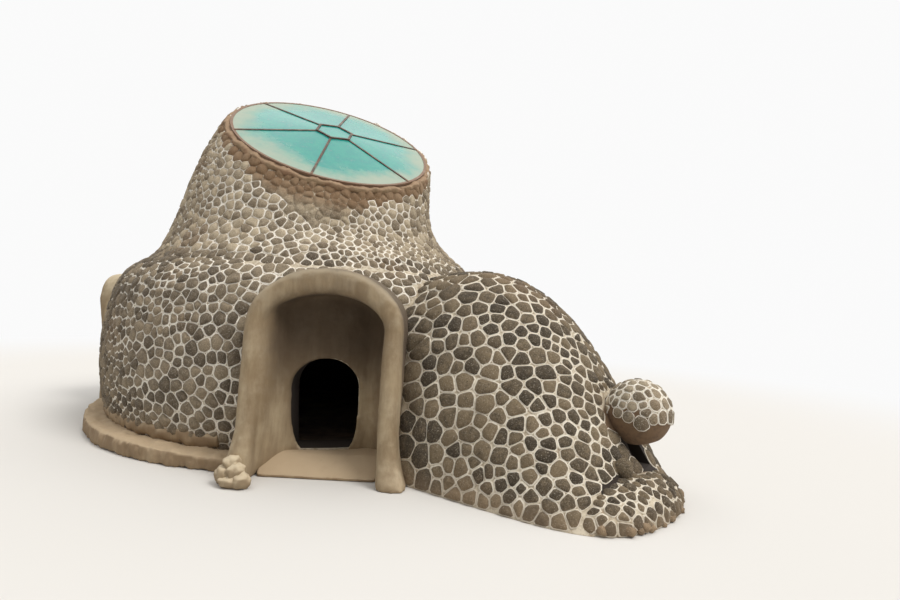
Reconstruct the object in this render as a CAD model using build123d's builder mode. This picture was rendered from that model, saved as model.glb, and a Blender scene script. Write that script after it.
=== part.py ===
from build123d import *
import os
from math import asin, cos, degrees, radians, sin, sqrt

os.makedirs("parts", exist_ok=True)

# Small earth house: a bell-shaped vault whose neck leans forward under a tilted round
# skylight, an egg-shaped apse beside the entrance, and a second opening on the left side.
# Millimetres, +Z up. The origin is on the ground, at the axis of the vault's foot, and
# the entrance faces -Y. Headings are degrees from +X towards +Y.

# Main vault, outer face: three tangent arcs from the ground up
belly_radius = 2750
belly_height = 950
belly_curve = 3000
footing_angle = 25.0
shoulder_start_angle = 15.5
shoulder_curve = 650
shoulder_end_angle = 62.0
flare_curve = 500
neck_seat_angle = 33.15
wall = 380

# Neck, as level or tipped rings, each a rise above the one below it
neck_foot_radius = 1860
neck_foot_rise = 400
neck_foot_x = -90
neck_foot_y = -60
neck_foot_tilt = 5.0
neck_radius = 1690
neck_rise = 450
neck_x = -60
neck_y = -180
neck_tilt = 16.0
rim_radius = 1455
rim_rise = 792
rim_x = 182
rim_y = -364
rim_tilt = 34.7
rim_wall = 250
tilt_heading = -64.0

# Floor of rammed earth
floor_thickness = 120

# Entrance: an opening through the wall, under a thick arched surround
entrance_heading = -90.0
door_x = 725
door_half_width = 345
door_sill = 180
door_spring = 850
door_rise = 320
entrance_x = 760
entrance_half_width = 800
entrance_spring = 1500
entrance_rise = 610
entrance_crown_band = 265
entrance_depth = 550
entrance_batter = 8.0

# Opening on the left side, under a surround of its own
side_heading = 168.0
side_half_width = 270
side_sill = 500
side_spring = 1050
side_rise = 240
side_surround_half_width = 620
side_surround_spring = 1540
side_surround_rise = 460
side_crown_band = 205
side_depth = 450
side_batter = 1.5

# Both surrounds
surround_band = 205
surround_rounding = 95
surround_back = 2000
arch_overhang = 60
sill_setback = 250

# Apse, as upright sections along its own axis, each a run beyond the one before.
# Fullness is how square a section's shoulders are, and a shift is towards the front.
apse_heading = -37.6
apse_root = 1900
apse_root_half_width = 1250
apse_root_height = 2010
apse_root_fullness = 0.8
apse_crown_run = 1000
apse_crown_half_width = 1420
apse_crown_height = 2185
apse_crown_fullness = 0.78
apse_haunch_run = 900
apse_haunch_half_width = 1450
apse_haunch_height = 1930
apse_haunch_fullness = 0.64
apse_slope_run = 700
apse_slope_half_width = 1360
apse_slope_height = 1180
apse_slope_fullness = 0.47
apse_slope_shift = 80
apse_heel_run = 350
apse_heel_half_width = 1200
apse_heel_height = 640
apse_heel_fullness = 0.5
apse_heel_shift = 200
apse_end_run = 270
apse_end_half_width = 970
apse_end_height = 260
apse_end_fullness = 0.52
apse_end_shift = 330
apse_wall = 350
curve_peak = 0.75

# Room inside the apse, with the passage that joins it to the vault
passage_start = 1700
passage_half_width = 720
passage_height = 1650
apse_end_wall_run = 50
apse_end_room_half_width = 660
apse_end_room_height = 800
apse_split_height = 1050
apse_split_margin = 200
passage_split = 900

# Small low window at the apse's end, under a hood shaped like a bulb
window_half_width = 170
window_sill = 300
window_spring = 450
window_rise = 140
hood_radius = 322
hood_half_length = 325
hood_height = 825
hood_reach = 455

# Mound of earth at the apse's toe
toe_reach = 400
toe_half_width = 860
toe_height = 310
toe_setback = 50
toe_shift = 420

# Low bench of one coil round the wall's foot
bench_margin = 180
bench_x = 60
bench_y = -60
bench_width = 600
bench_height = 140
bench_rounding = 60
bench_start_heading = 184.0
bench_split_heading = 226.0
bench_end_heading = 267.5

# Skylight: an earth curb, a welded steel frame and glass
curb_height = 70
curb_rounding = 30
glass_radius = 1370
frame_width = 36
frame_height = 30
hub_radius = 280
hub_lift = 120
hub_height = 45
bar_width = 30
bar_height = 34
first_bar_heading = -52.0
bar_count = 6
glass_thickness = 8

# Wall pieces between two headings
door_left_heading = -100.0
door_right_heading = -58.0
apse_right_heading = -17.0
side_piece_angle = 20.0

# Past everything
far = 9000


def heading_vector(heading):
    """Level direction at an angle from +X."""
    return Vector(cos(radians(heading)), sin(radians(heading)), 0)


def ring_plane(height, x=0, y=0, tilt=0.0):
    """Plane of one ring of the vault, tipped towards the front."""
    normal = heading_vector(tilt_heading) * sin(radians(tilt)) + Vector(0, 0, 1) * cos(radians(tilt))
    return Plane(origin=(x, y, height), x_dir=heading_vector(tilt_heading + 90), z_dir=normal)


def facing_plane(origin, heading, batter=0.0):
    """Plane that faces a heading and leans back by its batter."""
    normal = heading_vector(heading) * cos(radians(batter)) + Vector(0, 0, 1) * sin(radians(batter))
    return Plane(origin=origin, x_dir=heading_vector(heading + 90), z_dir=normal)


def apse_plane(along):
    """Upright plane across the apse at a distance from the vault's axis."""
    return facing_plane(heading_vector(apse_heading) * along, apse_heading)


def section_plane(base, heading):
    """Plane that holds the normal of a base plane, with its x along a heading on it."""
    outwards = base.x_dir * cos(radians(heading)) + base.y_dir * sin(radians(heading))
    return Plane(origin=base.origin, x_dir=outwards, z_dir=outwards.cross(base.z_dir))


def arch_face(plane, half_width, low, spring, rise):
    """Arched opening on an upright plane, with an elliptical head."""
    with BuildSketch(plane) as face:
        with BuildLine():
            Polyline((half_width, spring), (half_width, low), (-half_width, low), (-half_width, spring))
            EllipticalCenterArc((0, spring), half_width, rise, start_angle=0, arc_size=180)
        make_face()
    return face.sketch


def vault_face(plane, half_width, height, fullness, shift=0):
    """Upright section of a vault that stands on the ground, as one curve and its chord."""
    peak = height / curve_peak
    with BuildSketch(plane) as face:
        with BuildLine():
            right = (half_width - shift, 0)
            left = (-half_width - shift, 0)
            Bezier(right, (half_width * fullness - shift, peak), (-half_width * fullness - shift, peak), left)
            Line(left, right)
        make_face()
    return face.sketch


def finish(piece, name):
    """Label one piece and write it."""
    piece.part.label = name
    export_step(piece.part, f"parts/{name}.step")


# Centres of the three tangent arcs of the vault's profile, and where the neck starts
belly_centre = Vector(belly_radius - belly_curve, belly_height)
shoulder_centre = belly_centre + heading_vector(shoulder_start_angle) * (belly_curve - shoulder_curve)
flare_centre = shoulder_centre + heading_vector(shoulder_end_angle) * (shoulder_curve + flare_curve)
shoulder_height = flare_centre.Y - flare_curve * sin(radians(neck_seat_angle))


def wall_line(thickness):
    """The vault's profile, a wall's thickness inside its outer face."""
    with BuildLine() as line:
        CenterArc(belly_centre, belly_curve - thickness, -footing_angle, footing_angle + shoulder_start_angle)
        CenterArc(shoulder_centre, shoulder_curve - thickness, shoulder_start_angle,
                  shoulder_end_angle - shoulder_start_angle)
        CenterArc(flare_centre, flare_curve + thickness, 180 + shoulder_end_angle, -shoulder_end_angle)
    return line.line


def wall_line_radius(height, thickness):
    """Distance of that profile from the vault's axis, at a height on the flare."""
    return flare_centre.X - sqrt((flare_curve + thickness) ** 2 - (flare_centre.Y - height) ** 2)


def vault_volume(thickness):
    """Everything inside the vault's outer face, or inside the room, up to the shoulder."""
    outline = wall_line(thickness)
    with BuildPart() as volume:
        with BuildSketch(Plane.XZ):
            with BuildLine():
                add(outline)
                Polyline(outline @ 1, (0, (outline @ 1).Y), (0, (outline @ 0).Y), outline @ 0)
            make_face()
            with Locations((0, shoulder_height / 2)):
                Rectangle(far, shoulder_height, mode=Mode.INTERSECT)
        revolve(axis=Axis.Z)
    return volume.part


vault_form = vault_volume(0)
vault_room = vault_volume(wall)

# Volume inside the apse's outer face
apse_crown = apse_root + apse_crown_run
apse_haunch = apse_crown + apse_haunch_run
apse_slope = apse_haunch + apse_slope_run
apse_heel = apse_slope + apse_heel_run
apse_end = apse_heel + apse_end_run
with BuildPart() as apse_form:
    loft([
        vault_face(apse_plane(apse_root), apse_root_half_width, apse_root_height, apse_root_fullness),
        vault_face(apse_plane(apse_crown), apse_crown_half_width, apse_crown_height, apse_crown_fullness),
        vault_face(apse_plane(apse_haunch), apse_haunch_half_width, apse_haunch_height, apse_haunch_fullness),
        vault_face(apse_plane(apse_slope), apse_slope_half_width, apse_slope_height, apse_slope_fullness,
                   apse_slope_shift),
        vault_face(apse_plane(apse_heel), apse_heel_half_width, apse_heel_height, apse_heel_fullness,
                   apse_heel_shift),
        vault_face(apse_plane(apse_end), apse_end_half_width, apse_end_height, apse_end_fullness,
                   apse_end_shift),
    ])

# Room inside the apse, with the passage that joins it to the vault
apse_room_end = apse_slope - apse_end_wall_run
with BuildPart() as apse_room:
    passage_face = vault_face(apse_plane(passage_start), passage_half_width, passage_height,
                              apse_crown_fullness)
    extrude(passage_face, amount=apse_haunch - passage_start)
    loft([
        vault_face(apse_plane(apse_crown), apse_crown_half_width - apse_wall,
                   apse_crown_height - apse_wall, apse_crown_fullness),
        vault_face(apse_plane(apse_haunch), apse_haunch_half_width - apse_wall,
                   apse_haunch_height - apse_wall, apse_haunch_fullness),
        vault_face(apse_plane(apse_room_end), apse_end_room_half_width, apse_end_room_height,
                   apse_slope_fullness, apse_slope_shift),
    ])

# Openings that pass through the walls
with BuildPart() as door_way:
    door_plane = facing_plane((door_x, -far, 0), entrance_heading)
    extrude(arch_face(door_plane, door_half_width, door_sill, door_spring, door_rise), amount=-far)

with BuildPart() as side_way:
    side_plane = facing_plane(heading_vector(side_heading) * far, side_heading)
    extrude(arch_face(side_plane, side_half_width, side_sill, side_spring, side_rise), amount=-far)

with BuildPart() as window_way:
    window_face = arch_face(apse_plane(apse_haunch), window_half_width, window_sill, window_spring, window_rise)
    extrude(window_face, amount=far)


def wall_piece(name, start, end, low, high, openings=()):
    """One piece of the vault's wall between two headings and two heights."""
    outside = wall_line(0)
    inside = wall_line(wall)
    with BuildPart() as piece:
        with BuildSketch(section_plane(Plane.XY, start)):
            with BuildLine():
                add(outside)
                add(inside)
                Line(outside @ 0, inside @ 0)
                Line(outside @ 1, inside @ 1)
            make_face()
            with Locations((0, (low + high) / 2)):
                Rectangle(far, high - low, mode=Mode.INTERSECT)
        revolve(axis=Axis.Z, revolution_arc=end - start)
        for opening in openings:
            add(opening.part, mode=Mode.SUBTRACT)
    finish(piece, name)


def plain_walls(names, start, end):
    """Wall pieces of full height and equal width between two headings."""
    step = (end - start) / len(names)
    for number, name in enumerate(names):
        wall_piece(name, start + number * step, start + (number + 1) * step, 0, shoulder_height)


door_middle_heading = degrees(asin(door_x / belly_radius)) + entrance_heading
side_back_heading = side_heading - side_piece_angle
side_front_heading = side_heading + side_piece_angle

wall_piece("wall_left_of_entrance", door_left_heading, door_middle_heading, 0, door_spring, [door_way])
wall_piece("wall_right_of_entrance", door_middle_heading, door_right_heading, 0, door_spring, [door_way])
wall_piece("wall_over_entrance", door_left_heading, door_right_heading, door_spring, shoulder_height, [door_way])
wall_piece("wall_left_of_passage", door_right_heading, apse_heading, 0, passage_split, [apse_room])
wall_piece("wall_right_of_passage", apse_heading, apse_right_heading, 0, passage_split, [apse_room])
wall_piece("wall_over_passage", door_right_heading, apse_right_heading, passage_split, shoulder_height,
           [apse_room])
plain_walls(["right_wall", "back_right_wall", "back_wall", "back_left_wall"],
            apse_right_heading, side_back_heading)
wall_piece("wall_behind_side_opening", side_back_heading, side_heading, 0, side_spring, [side_way])
wall_piece("wall_before_side_opening", side_heading, side_front_heading, 0, side_spring, [side_way])
wall_piece("wall_over_side_opening", side_back_heading, side_front_heading, side_spring, shoulder_height,
           [side_way])
plain_walls(["left_wall", "front_wall"], side_front_heading, door_left_heading + 360)

# Neck, in quarters between the shoulder and the tilted rim
neck_foot_height = shoulder_height + neck_foot_rise
neck_height = neck_foot_height + neck_rise
rim_height = neck_height + rim_rise
rim_plane = ring_plane(rim_height, rim_x, rim_y, rim_tilt)
neck_rings = (
    (ring_plane(shoulder_height), wall_line_radius(shoulder_height, 0), wall_line_radius(shoulder_height, wall)),
    (ring_plane(neck_foot_height, neck_foot_x, neck_foot_y, neck_foot_tilt), neck_foot_radius,
     neck_foot_radius - wall),
    (ring_plane(neck_height, neck_x, neck_y, neck_tilt), neck_radius, neck_radius - (wall + rim_wall) / 2),
    (rim_plane, rim_radius, rim_radius - rim_wall),
)
with BuildPart() as neck:
    for plane, outer, inner in neck_rings:
        with BuildSketch(plane):
            Circle(outer)
    loft()
    for plane, outer, inner in neck_rings:
        with BuildSketch(plane):
            Circle(inner)
    loft(mode=Mode.SUBTRACT)

eighth_turn = 45
for name, across, along in (
    ("neck_front", Keep.TOP, Keep.TOP),
    ("neck_right", Keep.TOP, Keep.BOTTOM),
    ("neck_back", Keep.BOTTOM, Keep.BOTTOM),
    ("neck_left", Keep.BOTTOM, Keep.TOP),
):
    with BuildPart() as quarter:
        add(neck.part)
        split(bisect_by=Plane(origin=(0, 0, 0), z_dir=heading_vector(tilt_heading + eighth_turn)), keep=across)
        split(bisect_by=Plane(origin=(0, 0, 0), z_dir=heading_vector(tilt_heading - eighth_turn)), keep=along)
    finish(quarter, name)

# Floor of the room and of the apse
with BuildPart() as earth_floor:
    add(vault_room)
    with BuildSketch(Plane.XY):
        Circle(far)
    extrude(amount=floor_thickness, mode=Mode.INTERSECT)
finish(earth_floor, "earth_floor")

with BuildPart() as apse_floor:
    add(apse_room.part)
    with BuildSketch(Plane.XY):
        Circle(far)
    extrude(amount=floor_thickness, mode=Mode.INTERSECT)
    add(vault_room, mode=Mode.SUBTRACT)
finish(apse_floor, "apse_floor")


def surround_block(plane, half_width, spring, rise):
    """Everything inside a surround's outer face, from its front plane back into the vault."""
    backwards = Vector(-plane.z_dir.X, -plane.z_dir.Y, 0).normalized()
    slope = 1 / plane.y_dir.Z
    with BuildPart() as block:
        outline = arch_face(plane, half_width, 0, spring * slope, rise * slope)
        extrude(outline, amount=surround_back, dir=backwards)
    return block.part


def surround(plane, half_width, spring, rise, crown_band):
    """Arched surround with a rounded front, from its front plane back into the vault."""
    backwards = Vector(-plane.z_dir.X, -plane.z_dir.Y, 0).normalized()
    with BuildPart() as band:
        add(surround_block(plane, half_width, spring, rise))
        add(surround_block(plane, half_width - surround_band, spring, rise - crown_band),
            mode=Mode.SUBTRACT)
        front = band.faces().filter_by(plane).sort_by(Axis(plane.origin, plane.z_dir))[-1]
        standing = front.edges().sort_by(Axis.Z)[2:]
        fillet(standing, radius=surround_rounding)
        add(vault_form, mode=Mode.SUBTRACT)
        split(bisect_by=Plane(origin=(0, 0, 0), z_dir=backwards * -1), keep=Keep.TOP)
    return band.part


def surround_pieces(band, prefix, left, right, plane, spring):
    """Cut a surround into two jambs and the arch over them, and write them."""
    bed = Plane.XY.offset(spring - arch_overhang)
    sides = {left: Keep.TOP, right: Keep.BOTTOM}
    for name, side in sides.items():
        with BuildPart() as jamb:
            add(band)
            split(bisect_by=bed, keep=Keep.BOTTOM)
            split(bisect_by=Plane(origin=plane.origin, z_dir=plane.x_dir * -1), keep=side)
        finish(jamb, f"{prefix}_{name}")
    with BuildPart() as arch:
        add(band)
        split(bisect_by=bed, keep=Keep.TOP)
    finish(arch, f"{prefix}_arch")


entrance_reach = belly_radius + entrance_depth
entrance_front = facing_plane((entrance_x, -entrance_reach, 0), entrance_heading, entrance_batter)
entrance_band = surround(entrance_front, entrance_half_width, entrance_spring, entrance_rise,
                         entrance_crown_band)
surround_pieces(entrance_band, "entrance", "left_jamb", "right_jamb", entrance_front, entrance_spring)

side_reach = belly_radius + side_depth
side_front = facing_plane(heading_vector(side_heading) * side_reach, side_heading, side_batter)
side_band = surround(side_front, side_surround_half_width, side_surround_spring, side_surround_rise,
                     side_crown_band)
surround_pieces(side_band, "side_surround", "back_jamb", "front_jamb", side_front, side_surround_spring)

# Raised sill between the entrance's jambs
with BuildPart() as entrance_sill:
    with BuildSketch(Plane.XY):
        with Locations((entrance_x, -entrance_reach + sill_setback)):
            Rectangle(2 * (entrance_half_width - surround_band), surround_back,
                      align=(Align.CENTER, Align.MIN))
    extrude(amount=door_sill)
    add(vault_form, mode=Mode.SUBTRACT)
    split(bisect_by=Plane(origin=(0, 0, 0), z_dir=heading_vector(entrance_heading)), keep=Keep.TOP)
finish(entrance_sill, "entrance_sill")

# Wall of the apse, from the vault's face outwards
with BuildPart() as apse_shell:
    add(apse_form.part)
    add(apse_room.part, mode=Mode.SUBTRACT)
    add(window_way.part, mode=Mode.SUBTRACT)
    add(vault_form, mode=Mode.SUBTRACT)
    entrance_block = surround_block(entrance_front, entrance_half_width, entrance_spring, entrance_rise)
    add(entrance_block, mode=Mode.SUBTRACT)


def apse_piece(name, low, high, start, end, left, right):
    """One piece of the apse's wall, inside a box laid along its axis."""
    with BuildPart() as piece:
        add(apse_shell.part)
        with BuildSketch(apse_plane(start)):
            with Locations(((left + right) / 2, (low + high) / 2)):
                Rectangle(right - left, high - low)
        extrude(amount=end - start, mode=Mode.INTERSECT)
    finish(piece, name)


apse_split = apse_room_end - apse_split_margin
apse_piece("apse_front_wall", 0, apse_split_height, 0, apse_split, -far, 0)
apse_piece("apse_back_wall", 0, apse_split_height, 0, apse_split, 0, far)
apse_piece("apse_vault", apse_split_height, far, 0, apse_split, -far, far)
apse_piece("apse_end_wall", 0, far, apse_split, far, -far, far)

# Hood over the window: a bulb on a level axis that grows out of the apse's end
hood_base = Plane.XY.offset(hood_height)
hood_base.origin += heading_vector(apse_heading) * (apse_slope + hood_reach)
hood_section = section_plane(hood_base, apse_heading)
with BuildPart() as window_hood:
    with BuildSketch(hood_section):
        with BuildLine():
            Line((hood_half_length, 0), (-hood_half_length, 0))
            EllipticalCenterArc((0, 0), hood_half_length, hood_radius, start_angle=0, arc_size=180)
        make_face()
    revolve(axis=Axis(hood_section.origin, hood_section.x_dir))
    add(apse_form.part, mode=Mode.SUBTRACT)
    add(window_way.part, mode=Mode.SUBTRACT)
finish(window_hood, "window_hood")

# Mound of earth at the apse's toe
with BuildPart() as mound:
    Sphere(toe_reach)
    scale(by=(toe_half_width / toe_reach, toe_height / toe_reach, 1))
    split(bisect_by=Plane.XZ, keep=Keep.BOTTOM)

with BuildPart() as apse_toe:
    with Locations(apse_plane(apse_end - toe_setback)):
        with Locations((-toe_shift, 0)):
            add(mound.part)
    add(apse_form.part, mode=Mode.SUBTRACT)
finish(apse_toe, "apse_toe")

# Bench of one coil round the left of the foot
bench_plane = Plane(origin=(bench_x, bench_y, 0))


def bench_piece(name, start, end):
    """One stretch of the bench between two headings, against the vault and the surrounds."""
    with BuildPart() as piece:
        with BuildSketch(section_plane(bench_plane, start)) as section:
            with Locations((belly_radius + bench_margin, 0)):
                Rectangle(bench_width, bench_height, align=(Align.MAX, Align.MIN))
            outer = section.vertices().sort_by(Axis(section.workplanes[0].origin, section.workplanes[0].x_dir))
            fillet(outer[-2:].sort_by(Axis.Z)[-1], radius=bench_rounding)
        revolve(axis=Axis(bench_plane.origin, bench_plane.z_dir), revolution_arc=end - start)
        add(vault_form, mode=Mode.SUBTRACT)
        add(entrance_band, mode=Mode.SUBTRACT)
        add(side_band, mode=Mode.SUBTRACT)
    finish(piece, name)


bench_piece("bench_left", bench_start_heading, bench_split_heading)
bench_piece("bench_front", bench_split_heading, bench_end_heading)

# Skylight, on the rim's plane
rim_axis = Axis(rim_plane.origin, rim_plane.z_dir)

with BuildPart() as skylight_curb:
    with BuildSketch(section_plane(rim_plane, 0)):
        with Locations((rim_radius - rim_wall, 0)):
            Rectangle(rim_wall, curb_height, align=(Align.MIN, Align.MIN))
        fillet(vertices().group_by(Axis.Y)[-1], radius=curb_rounding)
    revolve(axis=rim_axis)
finish(skylight_curb, "skylight_curb")

curb_plane = rim_plane.offset(curb_height)
frame_radius = glass_radius + frame_width / 2
frame_inside = glass_radius - frame_width / 2
hub_inside = hub_radius - frame_width

with BuildPart() as skylight_frame:
    with BuildSketch(curb_plane):
        Circle(frame_radius)
        Circle(frame_inside, mode=Mode.SUBTRACT)
    extrude(amount=frame_height)
    for number in range(bar_count):
        heading = first_bar_heading + number * 360 / bar_count
        with BuildSketch(section_plane(curb_plane, heading)):
            with BuildLine():
                Polyline(
                    (glass_radius, 0),
                    (glass_radius, bar_height),
                    (hub_radius - frame_width / 2, hub_lift + bar_height),
                    (hub_radius - frame_width / 2, hub_lift),
                    close=True,
                )
            make_face()
        extrude(amount=bar_width / 2, both=True)
    with BuildSketch(curb_plane.offset(hub_lift)):
        RegularPolygon(hub_radius, bar_count, rotation=first_bar_heading)
        RegularPolygon(hub_inside, bar_count, rotation=first_bar_heading, mode=Mode.SUBTRACT)
    extrude(amount=hub_height)
finish(skylight_frame, "skylight_frame")

glass_seat = bar_height / 2
with BuildPart() as skylight_panes:
    with BuildSketch(section_plane(curb_plane, 0)):
        with BuildLine():
            Polyline(
                (frame_inside, glass_seat),
                (frame_inside, glass_seat + glass_thickness),
                (hub_inside, glass_seat + glass_thickness + hub_lift),
                (hub_inside, glass_seat + hub_lift),
                close=True,
            )
        make_face()
    revolve(axis=rim_axis)
    add(skylight_frame.part, mode=Mode.SUBTRACT)
    with BuildSketch(curb_plane):
        RegularPolygon(hub_radius, bar_count, rotation=first_bar_heading)
    extrude(amount=far, mode=Mode.SUBTRACT)
finish(skylight_panes, "skylight_panes")

with BuildPart() as skylight_hub_pane:
    with BuildSketch(curb_plane.offset(hub_lift + hub_height / 2)):
        RegularPolygon(hub_inside, bar_count, rotation=first_bar_heading)
    extrude(amount=glass_thickness)
finish(skylight_hub_pane, "skylight_hub_pane")
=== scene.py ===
"""Looks of a small vaulted earth house: stones in pale joints, smooth plaster and a tilted skylight."""
import logging
import math
import random
from dataclasses import dataclass, field
from enum import Enum
from typing import Optional, Union

import bmesh
import bpy
from mathutils import Matrix, Vector, noise
from mathutils.bvhtree import BVHTree
from mathutils.kdtree import KDTree


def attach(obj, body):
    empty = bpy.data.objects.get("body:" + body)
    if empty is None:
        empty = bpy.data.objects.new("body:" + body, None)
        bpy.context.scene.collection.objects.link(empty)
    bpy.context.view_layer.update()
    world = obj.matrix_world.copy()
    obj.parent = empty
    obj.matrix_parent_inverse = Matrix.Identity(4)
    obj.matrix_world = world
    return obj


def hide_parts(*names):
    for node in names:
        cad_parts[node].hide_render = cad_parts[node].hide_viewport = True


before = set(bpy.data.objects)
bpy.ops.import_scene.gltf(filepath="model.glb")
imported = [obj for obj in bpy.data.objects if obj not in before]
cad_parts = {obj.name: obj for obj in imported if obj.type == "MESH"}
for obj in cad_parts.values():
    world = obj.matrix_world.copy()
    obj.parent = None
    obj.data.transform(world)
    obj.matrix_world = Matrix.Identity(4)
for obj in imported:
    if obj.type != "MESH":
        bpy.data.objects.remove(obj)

log = logging.getLogger("earth_house")

BODY = "root"
UP = Vector((0.0, 0.0, 1.0))
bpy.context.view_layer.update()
BACKDROP = (0.96, 0.96, 0.96, 1.0)
CELL_LAYER = "cell"
SIDE_ROOM_HEADING = -37.6
SIDE_OPENING_HEADING = 168.0
QUARTER_TURN = 90
TINY = 1e-6

Socket = bpy.types.NodeSocket
Value = Union[bpy.types.NodeSocket, Vector, tuple, float]


class Slot(Enum):
    """Material slots of the record, kept with the new pieces but not applied to them."""

    LUMPS = "lumpy_earth"
    PLASTER = "smooth_plaster"
    CURB = "curb_earth"


def heading_vector(heading: float) -> Vector:
    """Level direction at an angle in degrees from +X."""
    return Vector((math.cos(math.radians(heading)), math.sin(math.radians(heading)), 0.0))


def colour(red: int, green: int, blue: int) -> tuple[float, float, float, float]:
    """Linear colour of a displayed one.

    Args:
        red: Red from 0 to 255.
        green: Green from 0 to 255.
        blue: Blue from 0 to 255.

    Returns:
        Red, green, blue and alpha, as a finish takes them.
    """
    linear = []
    for part in (red, green, blue):
        share = part / 255
        linear.append(share / 12.92 if share <= 0.04045 else ((share + 0.055) / 1.055) ** 2.4)
    return (linear[0], linear[1], linear[2], 1.0)


def clamped(value: float) -> float:
    """Value kept between 0 and 1."""
    return min(1.0, max(0.0, value))


class Shader:
    """A material's node tree, written from left to right."""

    def __init__(self, name: str) -> None:
        """Start a material with one surface shader.

        Args:
            name: Name of the material.
        """
        self.material = bpy.data.materials.new(name)
        self.material.use_nodes = True
        self.tree = self.material.node_tree
        self.surface = self.tree.nodes["Principled BSDF"]
        self.position = self.node("ShaderNodeTexCoord").outputs["Object"]

    def node(self, kind: str, **settings: str) -> bpy.types.Node:
        """Add a node and set its properties.

        Args:
            kind: Type of the node.
            settings: Properties by name.

        Returns:
            The new node.
        """
        made = self.tree.nodes.new(kind)
        for name, value in settings.items():
            setattr(made, name, value)
        return made

    def feed(self, socket: Socket, value: Value) -> None:
        """Link a socket to an output, or set it to a constant.

        Args:
            socket: Input to fill.
            value: Output of another node, or a constant.
        """
        if isinstance(value, bpy.types.NodeSocket):
            self.tree.links.new(value, socket)
        else:
            socket.default_value = value

    def noise(self, scale: float, detail: float, rough: float, vector: Optional[Socket] = None) -> Socket:
        """Cloudy value from 0 to 1 over the piece.

        Args:
            scale: Clouds to the metre, about.
            detail: Number of finer layers.
            rough: Strength of the finer layers.
            vector: Coordinates, or the piece's own.

        Returns:
            The cloudy value.
        """
        made = self.node("ShaderNodeTexNoise")
        self.feed(made.inputs["Vector"], vector or self.position)
        made.inputs["Scale"].default_value = scale
        made.inputs["Detail"].default_value = detail
        made.inputs["Roughness"].default_value = rough
        return made.outputs["Fac"]

    def stretched(self, x: float, y: float, z: float) -> Socket:
        """Object coordinates scaled by three factors.

        Args:
            x: Factor along X.
            y: Factor along Y.
            z: Factor along Z.

        Returns:
            The scaled coordinates.
        """
        made = self.node("ShaderNodeMapping")
        self.feed(made.inputs["Vector"], self.position)
        made.inputs["Scale"].default_value = (x, y, z)
        return made.outputs["Vector"]

    def math(self, operation: str, first: Value, second: Value = 0.0) -> Socket:
        """One step of arithmetic.

        Args:
            operation: The node's name for the step.
            first: First number.
            second: Second number.

        Returns:
            The step's outcome.
        """
        made = self.node("ShaderNodeMath", operation=operation)
        self.feed(made.inputs[0], first)
        self.feed(made.inputs[1], second)
        return made.outputs[0]

    def times(self, first: Value, second: Value) -> Socket:
        """Product of two numbers."""
        return self.math("MULTIPLY", first, second)

    def plus(self, first: Value, second: Value) -> Socket:
        """Sum of two numbers."""
        return self.math("ADD", first, second)

    def minus(self, first: Value, second: Value) -> Socket:
        """Difference of two numbers."""
        return self.math("SUBTRACT", first, second)

    def steps(self, factor: Value, low: float, high: float) -> Socket:
        """Factor rescaled so that it runs softly from 0 to 1.

        Args:
            factor: Number to rescale.
            low: Number that gives 0.
            high: Number that gives 1.

        Returns:
            The rescaled factor.
        """
        made = self.node("ShaderNodeMapRange", interpolation_type="SMOOTHSTEP")
        self.feed(made.inputs["Value"], factor)
        made.inputs["From Min"].default_value = low
        made.inputs["From Max"].default_value = high
        return made.outputs["Result"]

    def mix(self, factor: Value, first: Value, second: Value) -> Socket:
        """Blend of two colours.

        Args:
            factor: Share of the second colour.
            first: First colour.
            second: Second colour.

        Returns:
            The blended colour.
        """
        made = self.node("ShaderNodeMix", data_type="RGBA", blend_type="MIX")
        self.feed(made.inputs[0], factor)
        self.feed(made.inputs[6], first)
        self.feed(made.inputs[7], second)
        return made.outputs[2]

    def tint(self, base: Value, over: Value, cloud: Socket, low: float, high: float, share: float) -> Socket:
        """Colour with another one laid over it in clouds.

        Args:
            base: Colour below.
            over: Colour laid over it.
            cloud: Cloudy value.
            low: Value where the second colour begins.
            high: Value where it is full.
            share: How much of it shows there.

        Returns:
            The tinted colour.
        """
        return self.mix(self.times(self.steps(cloud, low, high), share), base, over)

    def axis(self, name: str, vector: Optional[Socket] = None) -> Socket:
        """One part of the object coordinates: X, Y or Z.

        Args:
            name: X, Y or Z.
            vector: Coordinates, or the piece's own.

        Returns:
            The one part.
        """
        made = self.node("ShaderNodeSeparateXYZ")
        self.feed(made.inputs[0], vector or self.position)
        return made.outputs[name]

    def vectors(self, operation: str, first: Value, second: Value, out: str = "Vector") -> Socket:
        """One step of arithmetic with vectors.

        Args:
            operation: The node's name for the step.
            first: First vector.
            second: Second vector.
            out: Output to take: Vector or Value.

        Returns:
            The step's outcome.
        """
        made = self.node("ShaderNodeVectorMath", operation=operation)
        self.feed(made.inputs[0], first)
        self.feed(made.inputs[1], second)
        return made.outputs[out]

    def distance(self, point: Vector) -> Socket:
        """Distance from a point of the house."""
        return self.vectors("DISTANCE", self.position, point, "Value")

    def facing(self) -> Socket:
        """Outward direction of the surface."""
        return self.node("ShaderNodeNewGeometry").outputs["Normal"]

    def bump(self, height: Socket, distance: float, strength: float,
             under: Optional[Socket] = None) -> Socket:
        """Normal that a height bends.

        Args:
            height: Height from 0 to 1.
            distance: Metres that a height of 1 stands for.
            strength: Share of the effect.
            under: Normal of a finer layer.

        Returns:
            The bent normal.
        """
        made = self.node("ShaderNodeBump")
        made.inputs["Strength"].default_value = strength
        made.inputs["Distance"].default_value = distance
        self.feed(made.inputs["Height"], height)
        if under is not None:
            self.feed(made.inputs["Normal"], under)
        return made.outputs["Normal"]

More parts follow.
